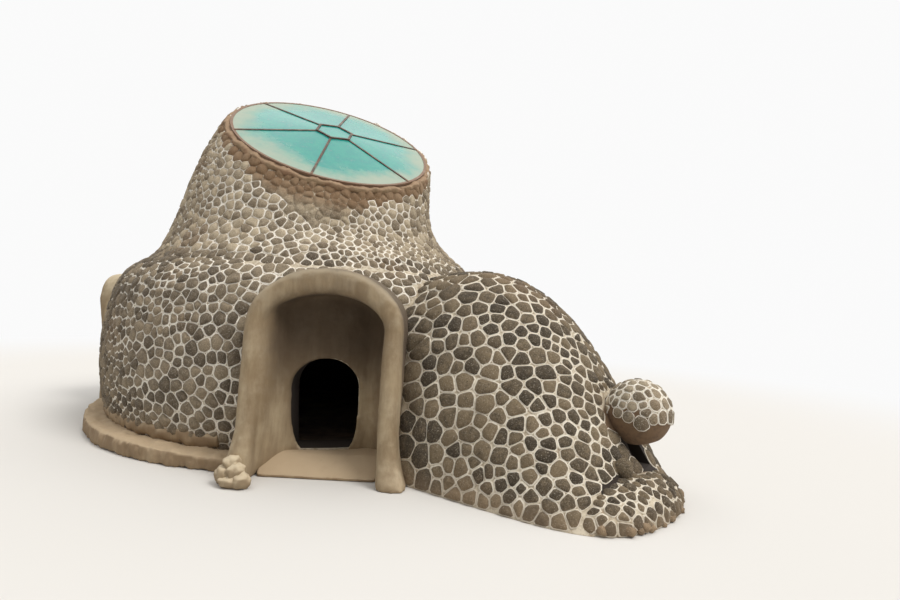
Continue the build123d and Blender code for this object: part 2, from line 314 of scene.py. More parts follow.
    def finish(self, base: Value, rough: Value, normal: Optional[Socket] = None) -> bpy.types.Material:
        """Join the colour, roughness and normal to the surface shader.

        Args:
            base: Colour, or an output that gives one.
            rough: Roughness, or an output that gives one.
            normal: Output of a bump node.

        Returns:
            The finished material.
        """
        self.feed(self.surface.inputs["Base Color"], base)
        self.feed(self.surface.inputs["Roughness"], rough)
        if normal is not None:
            self.feed(self.surface.inputs["Normal"], normal)
        return self.material


@dataclass(frozen=True)
class LumpFinish:
    """Weathered stones in raised white joints, told apart by the attribute of each cell."""

    name: str
    dark: tuple
    light: tuple
    joint: tuple = colour(246, 239, 226)
    joint_dirt: tuple = colour(196, 181, 156)
    warm: tuple = colour(132, 106, 78)
    bare: tuple = colour(128, 98, 68)
    pit: tuple = colour(30, 24, 18)
    foot_dust: tuple = colour(160, 136, 108)
    foot_height: float = 0.25
    rim_depth: float = 0.28
    rim_inner_depth: float = 0.12

    def build(self) -> bpy.types.Material:
        """Make the material.

        Returns:
            The material of one group of cells.
        """
        shader = Shader(self.name)
        cell = shader.node("ShaderNodeVertexColor", layer_name=CELL_LAYER).outputs["Color"]
        parts = shader.node("ShaderNodeSeparateColor")
        shader.feed(parts.inputs[0], cell)
        own, mask, pale = parts.outputs
        fine = shader.noise(80.0, 6.0, 0.7)
        patch = shader.noise(17.0, 5.0, 0.65)
        wide = shader.noise(1.1, 3.0, 0.5)
        tone = shader.plus(own, shader.times(patch, 1.6))
        stone = shader.mix(shader.steps(tone, 0.7, 1.9), self.dark, self.light)
        stone = shader.tint(stone, self.warm, wide, 0.5, 0.75, 0.4)
        stone = shader.tint(stone, shader.mix(0.35, self.light, self.joint), fine, 0.53, 0.68, 0.7)
        stone = shader.tint(stone, shader.mix(0.6, self.dark, self.pit), fine, 0.47, 0.33, 0.75)
        level = shader.vectors("DOT_PRODUCT", shader.position, SKYLIGHT.normal, "Value")
        depth = shader.minus(SKYLIGHT.centre.dot(SKYLIGHT.normal), level)
        rim = shader.times(shader.steps(depth, self.rim_depth, self.rim_inner_depth), 0.75)
        bare = shader.mix(rim, stone, self.bare)
        stone = shader.mix(pale, bare, stone)
        dirt = shader.steps(shader.noise(22.0, 5.0, 0.7), 0.42, 0.72)
        joint = shader.mix(shader.times(dirt, 0.75), self.joint, self.joint_dirt)
        joint = shader.mix(pale, stone, joint)
        edge = shader.plus(mask, shader.times(shader.minus(fine, 0.5), 0.7))
        base = shader.mix(shader.steps(edge, 0.4, 0.62), stone, joint)
        base = shader.tint(base, self.foot_dust, shader.axis("Z"), self.foot_height, 0.0, 0.3)
        grain = shader.bump(fine, 0.006, 0.8)
        normal = shader.bump(patch, 0.012, 0.7, grain)
        return shader.finish(base, 0.93, normal)


@dataclass(frozen=True)
class PlasterFinish:
    """Smooth hand-rubbed earth plaster with stains, hairline wear and dust, with painted shade on steep
    faces, painted light on level ones, and, when asked for, painted shade with some soot stain at the head
    of the niche.
    """

    name: str
    base: tuple = colour(160, 138, 108)
    light: tuple = colour(190, 172, 142)
    stain: tuple = colour(112, 88, 62)
    dust: tuple = colour(205, 184, 154)
    dust_height: float = 0.75
    # Painted shade: the streaked colour that steep faces take, and how much of it they take.
    side: tuple = colour(124, 103, 75)
    side_shade_share: float = 0.75
    # Painted shade, with some soot stain, at the head of the niche: its colour, its share, and its bounds in
    # depth and height.
    niche: tuple = colour(62, 46, 30)
    niche_shade_share: float = 0.0
    niche_front: float = -3.02
    niche_back: float = -2.78
    niche_low: float = 0.55
    niche_high: float = 1.35

    def shaded(self, shader: Shader, tone: Socket, cloud: Socket) -> Socket:
        """Paint shade on steep faces, paint light on level ones, and paint shade, with some soot stain, at
        the head of the niche.

        Args:
            shader: Tree to write into.
            tone: Colour so far.
            cloud: Cloudy value that breaks the edges.

        Returns:
            The shaded colour.
        """
        # Painted shade on steep faces, broken by streaks; then painted light on faces that look up.
        rise = shader.axis("Z", shader.facing())
        steep_shade = shader.steps(shader.plus(rise, shader.times(cloud, 0.4)), 0.85, 0.3)
        streak = shader.noise(2.4, 5.0, 0.6, shader.stretched(2.2, 2.2, 0.5))
        side = shader.mix(shader.steps(streak, 0.4, 0.68), self.side, self.base)
        tone = shader.mix(shader.times(steep_shade, self.side_shade_share), tone, side)
        tone = shader.tint(tone, self.light, rise, 0.35, 0.85, 0.65)
        # Painted shade, with some soot stain: darker deeper into the niche and higher up.
        depth = shader.plus(shader.axis("Y"), shader.times(cloud, 0.18))
        deep = shader.steps(depth, self.niche_front, self.niche_back)
        high = shader.steps(shader.axis("Z"), self.niche_low, self.niche_high)
        share = shader.times(shader.times(deep, high), self.niche_shade_share)
        return shader.mix(share, tone, self.niche)

    def layers(self, shader: Shader) -> tuple[Socket, Socket]:
        """Colour and normal of the plaster in a shader.

        Args:
            shader: Tree to write into.

        Returns:
            The colour output and the normal output.
        """
        wide = shader.noise(1.4, 4.0, 0.55)
        cloud = shader.noise(5.0, 6.0, 0.62)
        streak = shader.noise(3.2, 5.0, 0.6, shader.stretched(2.6, 2.6, 0.45))
        grit = shader.noise(160.0, 3.0, 0.6)
        tone = shader.mix(shader.steps(cloud, 0.35, 0.7), self.base, self.light)
        tone = shader.tint(tone, self.light, wide, 0.45, 0.7, 0.55)
        tone = shader.tint(tone, self.stain, streak, 0.52, 0.78, 0.6)
        rise = shader.plus(shader.axis("Z"), shader.times(cloud, 0.5))
        tone = shader.tint(tone, self.dust, rise, self.dust_height, 0.25, 0.6)
        tone = shader.tint(tone, self.dust, grit, 0.6, 0.8, 0.35)
        tone = shader.tint(tone, self.stain, grit, 0.4, 0.25, 0.35)
        tone = self.shaded(shader, tone, cloud)
        normal = shader.bump(cloud, 0.02, 0.5, shader.bump(grit, 0.003, 0.7))
        return tone, normal

    def build(self) -> bpy.types.Material:
        """Make the material.

        Returns:
            The plaster's material.
        """
        shader = Shader(self.name)
        tone, normal = self.layers(shader)
        return shader.finish(tone, 0.88, normal)


@dataclass(frozen=True)
class WallFinish:
    """Mortar behind the lumps, smooth earth by the side openings, and painted shade in the doorway's reveal
    and on faces that look at the room.
    """

    name: str
    joint: tuple = colour(206, 194, 172)
    joint_dirt: tuple = colour(150, 132, 108)
    niche: tuple = colour(118, 94, 70)
    niche_dirt: tuple = colour(96, 76, 58)
    # Painted shade: the near-black colour of the dark room, laid on the reveal and on inward faces.
    inside_shade: tuple = colour(40, 30, 22)
    reveal_left: float = 0.3
    reveal_right: float = 1.15
    reveal_top: float = 1.25
    reveal_depth: float = 0.04
    reveal_front: float = -1.8
    niche_middle: Vector = Vector((3.86, -3.08, 0.62))
    niche_radius: float = 0.36
    niche_edge: float = 0.04
    recess: tuple = colour(160, 139, 109)
    recess_middle: Vector = Vector((-2.76, 0.59, 0.95))
    recess_radius: float = 0.85
    axis: Vector = UP
    start: Vector = Vector((0.0, 0.0, 0.0))
    # Share of the painted shade on faces that look at the room.
    inside_shade_share: float = 1.0

    def reveal(self, shader: Shader) -> Socket:
        """Find the doorway's reveal, which takes painted shade.

        Args:
            shader: Tree to write into.

        Returns:
            A factor that is 1 in the reveal.
        """
        flat = shader.vectors("MULTIPLY", shader.position, (1.0, 1.0, 0.0))
        level = shader.vectors("DISTANCE", flat, (0.0, 0.0, 0.0), "Value")
        rise = shader.minus(shader.axis("Z"), VAULT.belly_height)
        curve = shader.minus(VAULT.belly_curve ** 2, shader.times(rise, rise))
        face = shader.plus(shader.math("SQRT", curve), VAULT.belly_radius - VAULT.belly_curve)
        inside_shade = shader.math("LESS_THAN", level, shader.minus(face, self.reveal_depth))
        for name, limit in (("X", self.reveal_right), ("Z", self.reveal_top), ("Y", self.reveal_front)):
            inside_shade = shader.times(inside_shade, shader.math("LESS_THAN", shader.axis(name), limit))
        return shader.times(inside_shade, shader.math("GREATER_THAN", shader.axis("X"), self.reveal_left))

    def inwards(self, shader: Shader) -> Socket:
        """Find faces that look at the room, which take painted shade.

        Args:
            shader: Tree to write into.

        Returns:
            A factor that is 1 on those faces.
        """
        offset = shader.vectors("SUBTRACT", shader.position, self.start)
        run = shader.vectors("DOT_PRODUCT", offset, self.axis, "Value")
        scaled = shader.node("ShaderNodeVectorMath", operation="SCALE")
        scaled.inputs[0].default_value = self.axis
        shader.feed(scaled.inputs["Scale"], run)
        out = shader.vectors("SUBTRACT", offset, scaled.outputs[0])
        turned = shader.vectors("DOT_PRODUCT", shader.facing(), out, "Value")
        return shader.times(shader.math("LESS_THAN", turned, -0.02), self.inside_shade_share)

    def build(self) -> bpy.types.Material:
        """Make the material.

        Returns:
            The material of the wall's own nodes.
        """
        shader = Shader(self.name)
        dirt = shader.steps(shader.noise(18.0, 5.0, 0.7), 0.4, 0.7)
        grit = shader.noise(90.0, 4.0, 0.6)
        joint = shader.mix(dirt, self.joint, self.joint_dirt)
        reach = shader.distance(self.niche_middle)
        near = shader.steps(reach, self.niche_radius + self.niche_edge, self.niche_radius)
        base = shader.mix(near, joint, shader.mix(dirt, self.niche, self.niche_dirt))
        beside = shader.math("LESS_THAN", shader.distance(self.recess_middle), self.recess_radius)
        recess = shader.mix(shader.times(dirt, 0.3), self.recess, self.niche)
        base = shader.mix(beside, base, recess)
        # Painted shade: the reveal and the faces that look at the room take the near-black colour.
        dark = shader.math("MAXIMUM", self.reveal(shader), self.inwards(shader))
        return shader.finish(shader.mix(dark, base, self.inside_shade), 0.92, shader.bump(grit, 0.004, 0.6))


@dataclass(frozen=True)
class FloorFinish:
    """Dark rammed earth, trodden and dusty."""

    name: str = "rammed_earth"
    dark: tuple = colour(70, 54, 40)
    light: tuple = colour(110, 88, 66)
    dust: tuple = colour(140, 116, 90)

    def build(self) -> bpy.types.Material:
        """Make the material.

        Returns:
            The floor's material.
        """
        shader = Shader(self.name)
        cloud = shader.noise(4.0, 6.0, 0.6)
        grit = shader.noise(70.0, 4.0, 0.65)
        tone = shader.mix(shader.steps(cloud, 0.35, 0.7), self.dark, self.light)
        tone = shader.tint(tone, self.dust, grit, 0.55, 0.75, 0.5)
        return shader.finish(tone, 0.92, shader.bump(grit, 0.004, 0.8))


@dataclass(frozen=True)
class SteelFinish:
    """Thin dark-brown steel, rusted and dusty on top."""

    name: str = "rusted_steel"
    steel: tuple = colour(58, 48, 42)
    rust: tuple = colour(98, 70, 50)
    dust: tuple = colour(150, 132, 112)
    ring: tuple = colour(138, 108, 84)
    ring_inner: float = 1.31
    ring_outer: float = 1.335
    metallic: float = 0.35

    def build(self) -> bpy.types.Material:
        """Make the material.

        Returns:
            The frame's material.
        """
        shader = Shader(self.name)
        rust = shader.noise(26.0, 6.0, 0.65)
        dust = shader.noise(7.0, 4.0, 0.6)
        tone = shader.mix(shader.steps(rust, 0.4, 0.65), self.steel, self.rust)
        tone = shader.tint(tone, self.dust, dust, 0.5, 0.75, 0.5)
        reach = shader.distance(SKYLIGHT.centre)
        tone = shader.tint(tone, self.ring, reach, self.ring_inner, self.ring_outer, 0.6)
        rough = shader.plus(shader.times(rust, 0.35), 0.4)
        shader.surface.inputs["Metallic"].default_value = self.metallic
        return shader.finish(tone, rough, shader.bump(rust, 0.002, 0.6))


@dataclass(frozen=True)
class GlassFinish:
    """Turquoise painted glass, clear in colour at the middle and chalky with dust round its edge."""

    name: str
    centre: Vector
    radius: float
    turquoise: tuple = colour(34, 148, 132)
    deep: tuple = colour(10, 134, 128)
    chalk: tuple = colour(172, 178, 160)
    shine: float = 0.3

    def build(self) -> bpy.types.Material:
        """Make the material.

        Returns:
            The panes' material.
        """
        shader = Shader(self.name)
        cloud = shader.noise(1.6, 5.0, 0.62)
        smear = shader.noise(7.0, 6.0, 0.66)
        speck = shader.noise(60.0, 4.0, 0.6)
        reach = shader.math("DIVIDE", shader.distance(self.centre), self.radius)
        reach = shader.plus(reach, shader.times(shader.minus(cloud, 0.5), 0.75))
        edge = shader.times(shader.steps(reach, 0.68, 1.0), 0.88)
        tone = shader.mix(shader.steps(smear, 0.35, 0.7), self.turquoise, self.deep)
        tone = shader.mix(edge, tone, self.chalk)
        tone = shader.tint(tone, self.chalk, smear, 0.55, 0.8, 0.3)
        tone = shader.tint(tone, self.chalk, speck, 0.58, 0.75, 0.25)
        rough = shader.plus(shader.times(edge, 0.45), 0.22)
        shader.surface.inputs["Specular IOR Level"].default_value = self.shine
        return shader.finish(tone, rough, shader.bump(smear, 0.004, 0.35))


@dataclass(frozen=True)
class StageFinish:
    """Pale floor that keeps the house's shadow and fades into the backdrop further out."""

    name: str = "pale_floor"
    near: float = 7.5
    far: float = 15.0
    pale: tuple = colour(218, 215, 210)

    def build(self) -> bpy.types.Material:
        """Make the material.

        Returns:
            The floor's material.
        """
        shader = Shader(self.name)
        fade = shader.steps(shader.distance(Vector((0.0, 0.0, 0.0))), self.near, self.far)
        plain = shader.node("ShaderNodeEmission")
        plain.inputs["Color"].default_value = BACKDROP
        blend = shader.node("ShaderNodeMixShader")
        shader.feed(blend.inputs[0], fade)
        shader.feed(blend.inputs[1], shader.surface.outputs[0])
        shader.feed(blend.inputs[2], plain.outputs[0])
        shader.feed(shader.tree.nodes["Material Output"].inputs["Surface"], blend.outputs[0])
        return shader.finish(self.pale, 0.95)


STONE = LumpFinish("vault_lumps", dark=colour(84, 73, 58), light=colour(142, 127, 104))
NECK_STONE = LumpFinish("neck_lumps", dark=colour(116, 102, 82), light=colour(184, 168, 142),
                        joint=colour(250, 243, 230))
APSE_STONE = LumpFinish("apse_lumps", dark=colour(60, 51, 38), light=colour(122, 106, 82),
                        joint=colour(232, 223, 206))
HOOD_STONE = LumpFinish("hood_lumps", dark=colour(104, 92, 74), light=colour(160, 146, 122))
TOE_STONE = LumpFinish("toe_rubble", dark=colour(92, 76, 58), light=colour(150, 128, 100))
# The entrance's plaster takes the painted shade at the head of its niche.
PLASTER = PlasterFinish("surround_plaster", base=colour(162, 143, 113), light=colour(208, 192, 163),
                        niche_shade_share=0.85)
SIDE_PLASTER = PlasterFinish("side_plaster", base=colour(166, 147, 117), light=colour(208, 192, 163))
# The bench's side colour is painted shade on its steep faces.
BENCH_PLASTER = PlasterFinish("bench_plaster", base=colour(160, 138, 108), light=colour(186, 164, 134),
                              stain=colour(112, 88, 62), dust=colour(190, 168, 138), dust_height=0.2,
                              side=colour(122, 98, 70))
CURB_PLASTER = PlasterFinish("curb_mud", base=colour(126, 94, 68), light=colour(158, 130, 102),
                             stain=colour(84, 60, 42), dust=colour(170, 146, 118), dust_height=-1.0)


@dataclass(frozen=True)
class Vault:
    """Outer profile of the round wall, in metres."""

    belly_radius: float = 2.75
    belly_height: float = 0.95
    belly_curve: float = 3.0

    def radius(self, height: float) -> float:
        """Distance of the wall's face from the axis at a height."""
        centre = self.belly_radius - self.belly_curve
        return centre + math.sqrt(self.belly_curve ** 2 - (height - self.belly_height) ** 2)


@dataclass(frozen=True)
class LowWindow:
    """The low window of the side room, under its hood, in metres."""

    hood: Vector = Vector((3.927, -3.022, 0.825))
    along: Vector = heading_vector(SIDE_ROOM_HEADING)
    across: Vector = heading_vector(SIDE_ROOM_HEADING - QUARTER_TURN)
    reach: float = 0.62
    belly_reach: float = 0.42
    belly_back: float = -0.2
    belly_drop: float = -0.02
    belly_slope: float = 0.25
    niche_back: float = -0.12
    niche_half_width: float = 0.26
    niche_foot: float = -0.56

    def is_smooth(self, place: Vector) -> bool:
        """Tell whether the earth is smooth at a place.

        Args:
            place: Point on the side room.

        Returns:
            True under the hood's belly and in the window's niche.
        """
        offset = place - self.hood
        if offset.length > self.reach:
            return False
        out = offset.dot(self.along)
        below = offset.z < self.belly_drop - self.belly_slope * out
        if out > self.belly_back and below and offset.length < self.belly_reach:
            return True
        beside = abs(offset.dot(self.across)) < self.niche_half_width
        return out > self.niche_back and beside and self.niche_foot < offset.z < 0.0


VAULT = Vault()
LOW_WINDOW = LowWindow()

WALL = WallFinish("wall_mortar")
APSE_WALL = WallFinish("apse_mortar", axis=LOW_WINDOW.along, start=Vector((0.0, 0.0, 0.7)))
OUTER_WALL = WallFinish("outer_mortar", inside_shade_share=0.0)


def link_mesh(bm: bmesh.types.BMesh, name: str) -> bpy.types.Object:
    """Turn a mesh into an object of the scene.

    Args:
        bm: Finished mesh, freed here.
        name: Name of the mesh and of its object.

    Returns:
        The new object.
    """
    mesh = bpy.data.meshes.new(name)
    bm.to_mesh(mesh)
    bm.free()
    made = bpy.data.objects.new(name, mesh)
    bpy.context.scene.collection.objects.link(made)
    return made


def add_piece(bm: bmesh.types.BMesh, name: str, material: bpy.types.Material) -> bpy.types.Object:
    """Turn a mesh into a piece that rides on the house.

    Args:
        bm: Finished mesh, freed here.
        name: Name of the piece.
        material: Its one material.

    Returns:
        The new object.
    """
    for face in bm.faces:
        face.smooth = True
    piece = link_mesh(bm, name)
    piece.data.materials.append(material)
    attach(piece, BODY)
    log.info("%s: %d faces", name, len(piece.data.polygons))
    return piece


def dress_node(name: str, material: bpy.types.Material) -> None:
    """Give a node of the frame its finish.

    Args:
        name: The node.
        material: Its one material.
    """
    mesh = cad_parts[name].data
    mesh.materials.clear()
    mesh.materials.append(material)
    log.info("%s: dressed", name)


class Skin:
    """The outer skin of the walls, with a test for what the sky sees."""

    lift = 0.004
    tilts = ((1.0, 0.6), (0.35, 1.0))

    def __init__(self) -> None:
        """Gather every node's triangles into one tree."""
        corners: list[Vector] = []
        faces: list[tuple[int, ...]] = []
        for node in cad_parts.values():
            start = len(corners)
            corners.extend(vertex.co for vertex in node.data.vertices)
            faces.extend(tuple(start + index for index in face.vertices) for face in node.data.polygons)
        self.tree = BVHTree.FromPolygons(corners, faces)

    def is_outside(self, point: Vector, normal: Vector) -> bool:
        """Tell whether a point of a face looks out of the house.

        Args:
            point: Point on the face.
            normal: The face's outward direction.

        Returns:
            True if one of two rays from the face, both tilted up, leaves the house.
        """
        start = point + normal * self.lift
        rays = (normal * out + UP * up for out, up in self.tilts)
        return any(self.tree.ray_cast(start, ray.normalized())[0] is None for ray in rays)


@dataclass
class Region:
    """One stretch of lumps: which nodes it covers, and how large its cells are, in metres."""

    name: str
    nodes: tuple[str, ...]
    spacing: float
    finish: LumpFinish
    bead: float = 0.0054
    dome: float = 0.015
    rounding: float = 0.17
    spread: float = 0.22
    split: int = 1
    widest: float = 1.05


@dataclass
class Seed:
    """Middle of one cell."""

    place: Vector
    normal: Vector
    reach: float
    region: Region
    plain: float


@dataclass(frozen=True)
class Ring:
    """One step in from a stone's rim: how far, how high, how round, and whether it is joint."""

    thickness: float
    rise: float
    round_off: float
    mask: float


@dataclass
class Lumps:
    """Every lump of the walls, as closed cells laid side by side on the skin."""

    regions: list[Region]
    skin: Skin
    surrounds: "tuple[EntranceArea | SideArea, ...]"
    candidates_per_area: int = 1300
    candidate_spacing: float = 0.11
    cell_corners: int = 8
    search_share: float = 2.1
    grid_pitch: float = 0.24
    sunk: float = 0.016
    raise_joint: float = 0.004
    smallest: float = 0.3
    shortest: float = 0.11
    floor_gap: float = 0.004
    lowest: float = 0.035
    steepest: float = -0.55
    wall_seam_slope: float = 0.8
    apse_seam_slope: float = 0.97
    apse_seam_height: float = 1.2
    ground_slope: float = 0.2
    drift_pitch: float = 0.9
    drift_share: float = 1.6
    drift_offset: Vector = Vector((3.1, 7.7, 1.3))
    speckle: float = 0.16
    uneven_joint: float = 0.003
    bare_reach: float = 2.2
    bare_depth: float = 0.15
    bare_patch_depth: float = 0.24
    bare_patch_heading: float = -88.0
    bare_patch_width: float = 24.0
    dice: random.Random = field(default_factory=lambda: random.Random(7))
    seeds: list[Seed] = field(default_factory=list)

    def candidates(self, region: Region) -> list[Seed]:
        """Scatter places over a region's outer faces.

        Args:
            region: Stretch to cover.

        Returns:
            Seeds in a random order, too close to each other as yet.
        """
        found = []
        for name in region.nodes:
            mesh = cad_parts[name].data
            corners = [vertex.co.copy() for vertex in mesh.vertices]
            mesh.calc_loop_triangles()
            for triangle in mesh.loop_triangles:
                a, b, c = (corners[index] for index in triangle.vertices)
                cross = (b - a).cross(c - a)
                area = cross.length / 2
                if area < 1e-9:
                    continue
                normal = cross.normalized()
                if self.is_seam(name, normal, a.z):
                    continue
                share = area * self.candidates_per_area * (self.candidate_spacing / region.spacing) ** 2
                for _ in range(int(share + self.dice.random())):
                    u, v = self.dice.random(), self.dice.random()
                    if u + v > 1:
                        u, v = 1 - u, 1 - v
                    place = a + (b - a) * u + (c - a) * v
                    if self.is_bare(place, normal) or not self.skin.is_outside(place, normal):
                        continue
                    found.append(Seed(place, normal, self.reach(region, place), region, self.plain(place)))
        self.dice.shuffle(found)
        return found

    def is_seam(self, name: str, normal: Vector, height: float) -> bool:
        """Tell whether a face is the flat seam between two pieces of wall.

        Args:
            name: The piece.
            normal: The face's outward direction.
            height: Height of one of its corners.

        Returns:
            True on a seam, which carries no lumps.
        """
        if name.startswith("wall_"):
            return abs(normal.z) > self.wall_seam_slope
        side_room = name.startswith("apse_") and name != "apse_toe"
        return side_room and normal.z > self.apse_seam_slope and height < self.apse_seam_height

    def is_bare(self, place: Vector, normal: Vector) -> bool:
        """Tell whether a place carries plaster, lies too low or looks down."""
        return (place.z < self.lowest or normal.z < self.steepest or LOW_WINDOW.is_smooth(place)
                or any(area.covers(place) for area in self.surrounds))

    def reach(self, region: Region, place: Vector) -> float:
        """Width of the cell at a place, which drifts along the wall.

        Args:
            region: Stretch of lumps it lies in.
            place: The cell's middle.

        Returns:
            The width in metres.
        """
        drift = noise.noise(place * self.drift_pitch + self.drift_offset)
        own = self.dice.uniform(-self.speckle, self.speckle)
        return region.spacing * (1 + region.spread * drift * self.drift_share + own)

    def plain(self, place: Vector) -> float:
        """Tell 1 where a place near the skylight's lower edge has lost its white joints, else 0.

        Args:
            place: The cell's middle.

        Returns:
            1 without white joints, else 0.
        """
        offset = place - SKYLIGHT.centre
        heading = math.degrees(math.atan2(offset.y, offset.x))
        if offset.length > self.bare_reach or not -170 < heading < 0:
            return 0.0
        patch = math.exp(-((heading - self.bare_patch_heading) / self.bare_patch_width) ** 2)
        edge = self.bare_depth + self.bare_patch_depth * patch + 0.10 * noise.noise(place * 4.0)
        return 1.0 if -offset.dot(SKYLIGHT.normal) < edge else 0.0

    def thin(self) -> None:
        """Keep only seeds that stand far enough from each other."""
        grid: dict[tuple[int, int, int], list[Seed]] = {}
        for region in self.regions:
            for seed in self.candidates(region):
                key = tuple(math.floor(part / self.grid_pitch) for part in seed.place)
                near = (
                    other
                    for dx in (-1, 0, 1) for dy in (-1, 0, 1) for dz in (-1, 0, 1)
                    for other in grid.get((key[0] + dx, key[1] + dy, key[2] + dz), ())
                )
                if all((other.place - seed.place).length > (other.reach + seed.reach) / 2
                       for other in near):
                    grid.setdefault(key, []).append(seed)
                    self.seeds.append(seed)

    def outline(self, seed: Seed, near: list[Seed]) -> list[Vector]:
        """Corners of one cell on its tangent plane.

        Args:
            seed: Middle of the cell.
            near: The seeds around it.

        Returns:
            Corners in order round the normal, or nothing where the cell is too small.
        """
        across = seed.normal.orthogonal().normalized()
        along = seed.normal.cross(across)
        limit = seed.reach * seed.region.widest
        turns = (math.tau * (number + 0.5) / self.cell_corners for number in range(self.cell_corners))
        corners = [Vector((math.cos(turn), math.sin(turn))) * limit for turn in turns]
        cuts = []
        for other in near:
            offset = other.place - seed.place
            flat = Vector((offset.dot(across), offset.dot(along)))
            if flat.length > TINY:
                cuts.append((flat.normalized(), flat.length * seed.reach / (seed.reach + other.reach)))
        ground = Vector((across.z, along.z))
        if ground.length > self.ground_slope:
            cuts.append((-ground.normalized(), (seed.place.z - self.floor_gap) / ground.length))
        for direction, distance in cuts:
            corners = self.clip(corners, direction, distance)
            if len(corners) < 3:
                return []
        corners = self.without_short_sides(corners, seed.region.spacing * self.shortest)
        if len(corners) < 4:
            return []
        middle = sum(corners, Vector((0.0, 0.0))) / len(corners)
        inner = min(
            abs((second - first).normalized().cross(middle - first))
            for first, second in zip(corners, corners[1:] + corners[:1]) if (second - first).length > TINY
        )
        if inner < seed.region.spacing * self.smallest / 2:
            return []
        sunk = seed.normal * self.sunk
        return [seed.place + across * corner.x + along * corner.y - sunk for corner in corners]

    @staticmethod
    def without_short_sides(corners: list[Vector], shortest: float) -> list[Vector]:
        """Polygon whose sides are all longer than a length.

        Args:
            corners: Corners in order.
            shortest: The length.

        Returns:
            The corners that are kept.
        """
        kept: list[Vector] = []
        for corner in corners:
            if not kept or (corner - kept[-1]).length > shortest:
                kept.append(corner)
        while len(kept) > 1 and (kept[0] - kept[-1]).length <= shortest:
            kept.pop()
        return kept

    @staticmethod
    def clip(corners: list[Vector], direction: Vector, distance: float) -> list[Vector]:
        """Part of a polygon that lies within a distance along a direction.

        Args:
            corners: Corners in order.
            direction: Direction in their plane.
            distance: How far the part may reach.

        Returns:
            Corners of the part, in order.
        """
        kept = []
        for first, second in zip(corners, corners[1:] + corners[:1]):
            before, after = distance - first.dot(direction), distance - second.dot(direction)
            if before >= 0:
                kept.append(first)
            if before * after < 0:
                kept.append(first.lerp(second, before / (before - after)))
        return kept

    def build(self) -> None:
        """Make one piece of cells for each region, or several where it is large."""
        self.thin()
        tree = KDTree(len(self.seeds))
        for index, seed in enumerate(self.seeds):
            tree.insert(seed.place, index)
        tree.balance()
        for region in self.regions:
            own = [seed for seed in self.seeds if seed.region is region]
            own.sort(key=lambda seed: seed.place.y)
            share = math.ceil(len(own) / region.split)
            material = region.finish.build()
            for part in range(region.split):
                name = region.name if region.split == 1 else f"{region.name}_{part + 1}"
                cells = self.cells(own[part * share:(part + 1) * share], tree)
                self.model(name, region, cells, material)

    def cells(self, own: list[Seed], tree: KDTree) -> list[tuple[Seed, list[Vector]]]:
        """Outline the cells of some seeds.

        Args:
            own: Seeds to outline.
            tree: Tree of every seed's place.

        Returns:
            Pairs of a seed and its outline, without cells that are too small.
        """
        found = []
        for seed in own:
            around = tree.find_range(seed.place, seed.reach * self.search_share)
            near = [self.seeds[index] for _, index, _ in around]
            outline = self.outline(seed, [other for other in near if other is not seed])
            if outline:
                found.append((seed, outline))
        return found

    def model(self, name: str, region: Region, cells: list[tuple[Seed, list[Vector]]],
              material: bpy.types.Material) -> None:
        """Raise the cells of one piece from their outlines.

        Args:
            name: Name of the piece.
            region: The stretch they belong to.
            cells: Pairs of a seed and its outline.
            material: Finish of the piece.
        """
        bm = bmesh.new()
        layer = bm.verts.layers.float_color.new(CELL_LAYER)
        for _, outline in cells:
            bm.faces.new([bm.verts.new(corner) for corner in outline])
        bmesh.ops.bevel(bm, geom=bm.verts[:], affect="VERTICES", offset=region.rounding * 100,
                        offset_type="PERCENT", segments=1, profile=0.5, material=-1, clamp_overlap=False)
        bases = bm.faces[:]
        raised = bmesh.ops.extrude_face_region(bm, geom=bases, use_keep_orig=True)
        tops = [item for item in raised["geom"] if isinstance(item, bmesh.types.BMFace)]
        tree = KDTree(len(cells))
        for index, (_, outline) in enumerate(cells):
            tree.insert(sum(outline, Vector()) / len(outline), index)
        tree.balance()
        stones = [Stone(cells[tree.find(top.calc_center_median())[1]][0], top, self.dice) for top in tops]
        for stone in stones:
            stone.lift(self.sunk + self.raise_joint + self.dice.uniform(0.0, self.uneven_joint))
            stone.paint(layer, 1.0)
        rings = (
            Ring(thickness=region.bead, rise=-0.5 * region.bead, round_off=0.03, mask=1.0),
            Ring(thickness=region.bead * 0.7, rise=region.dome * 0.35, round_off=0.08, mask=0.0),
            Ring(thickness=region.spacing * 0.13, rise=region.dome * 1.1, round_off=0.22, mask=0.0),
        )
        for ring in rings:
            bmesh.ops.inset_individual(bm, faces=tops, thickness=0.0, depth=0.0)
            for stone in stones:
                stone.shrink(ring.thickness, ring.round_off)
                stone.lift(ring.rise)
                stone.paint(layer, ring.mask)
        for stone in stones:
            stone.lift(self.dice.uniform(-0.25, 0.4) * region.dome)
            stone.roughen(region.dome * 0.5)
        poked = bmesh.ops.poke(bm, faces=tops, offset=region.dome * 0.25)
        for vertex in poked["verts"]:
            vertex[layer] = vertex.link_edges[0].other_vert(vertex)[layer]
        bmesh.ops.recalc_face_normals(bm, faces=bm.faces[:])
        add_piece(bm, name, material)


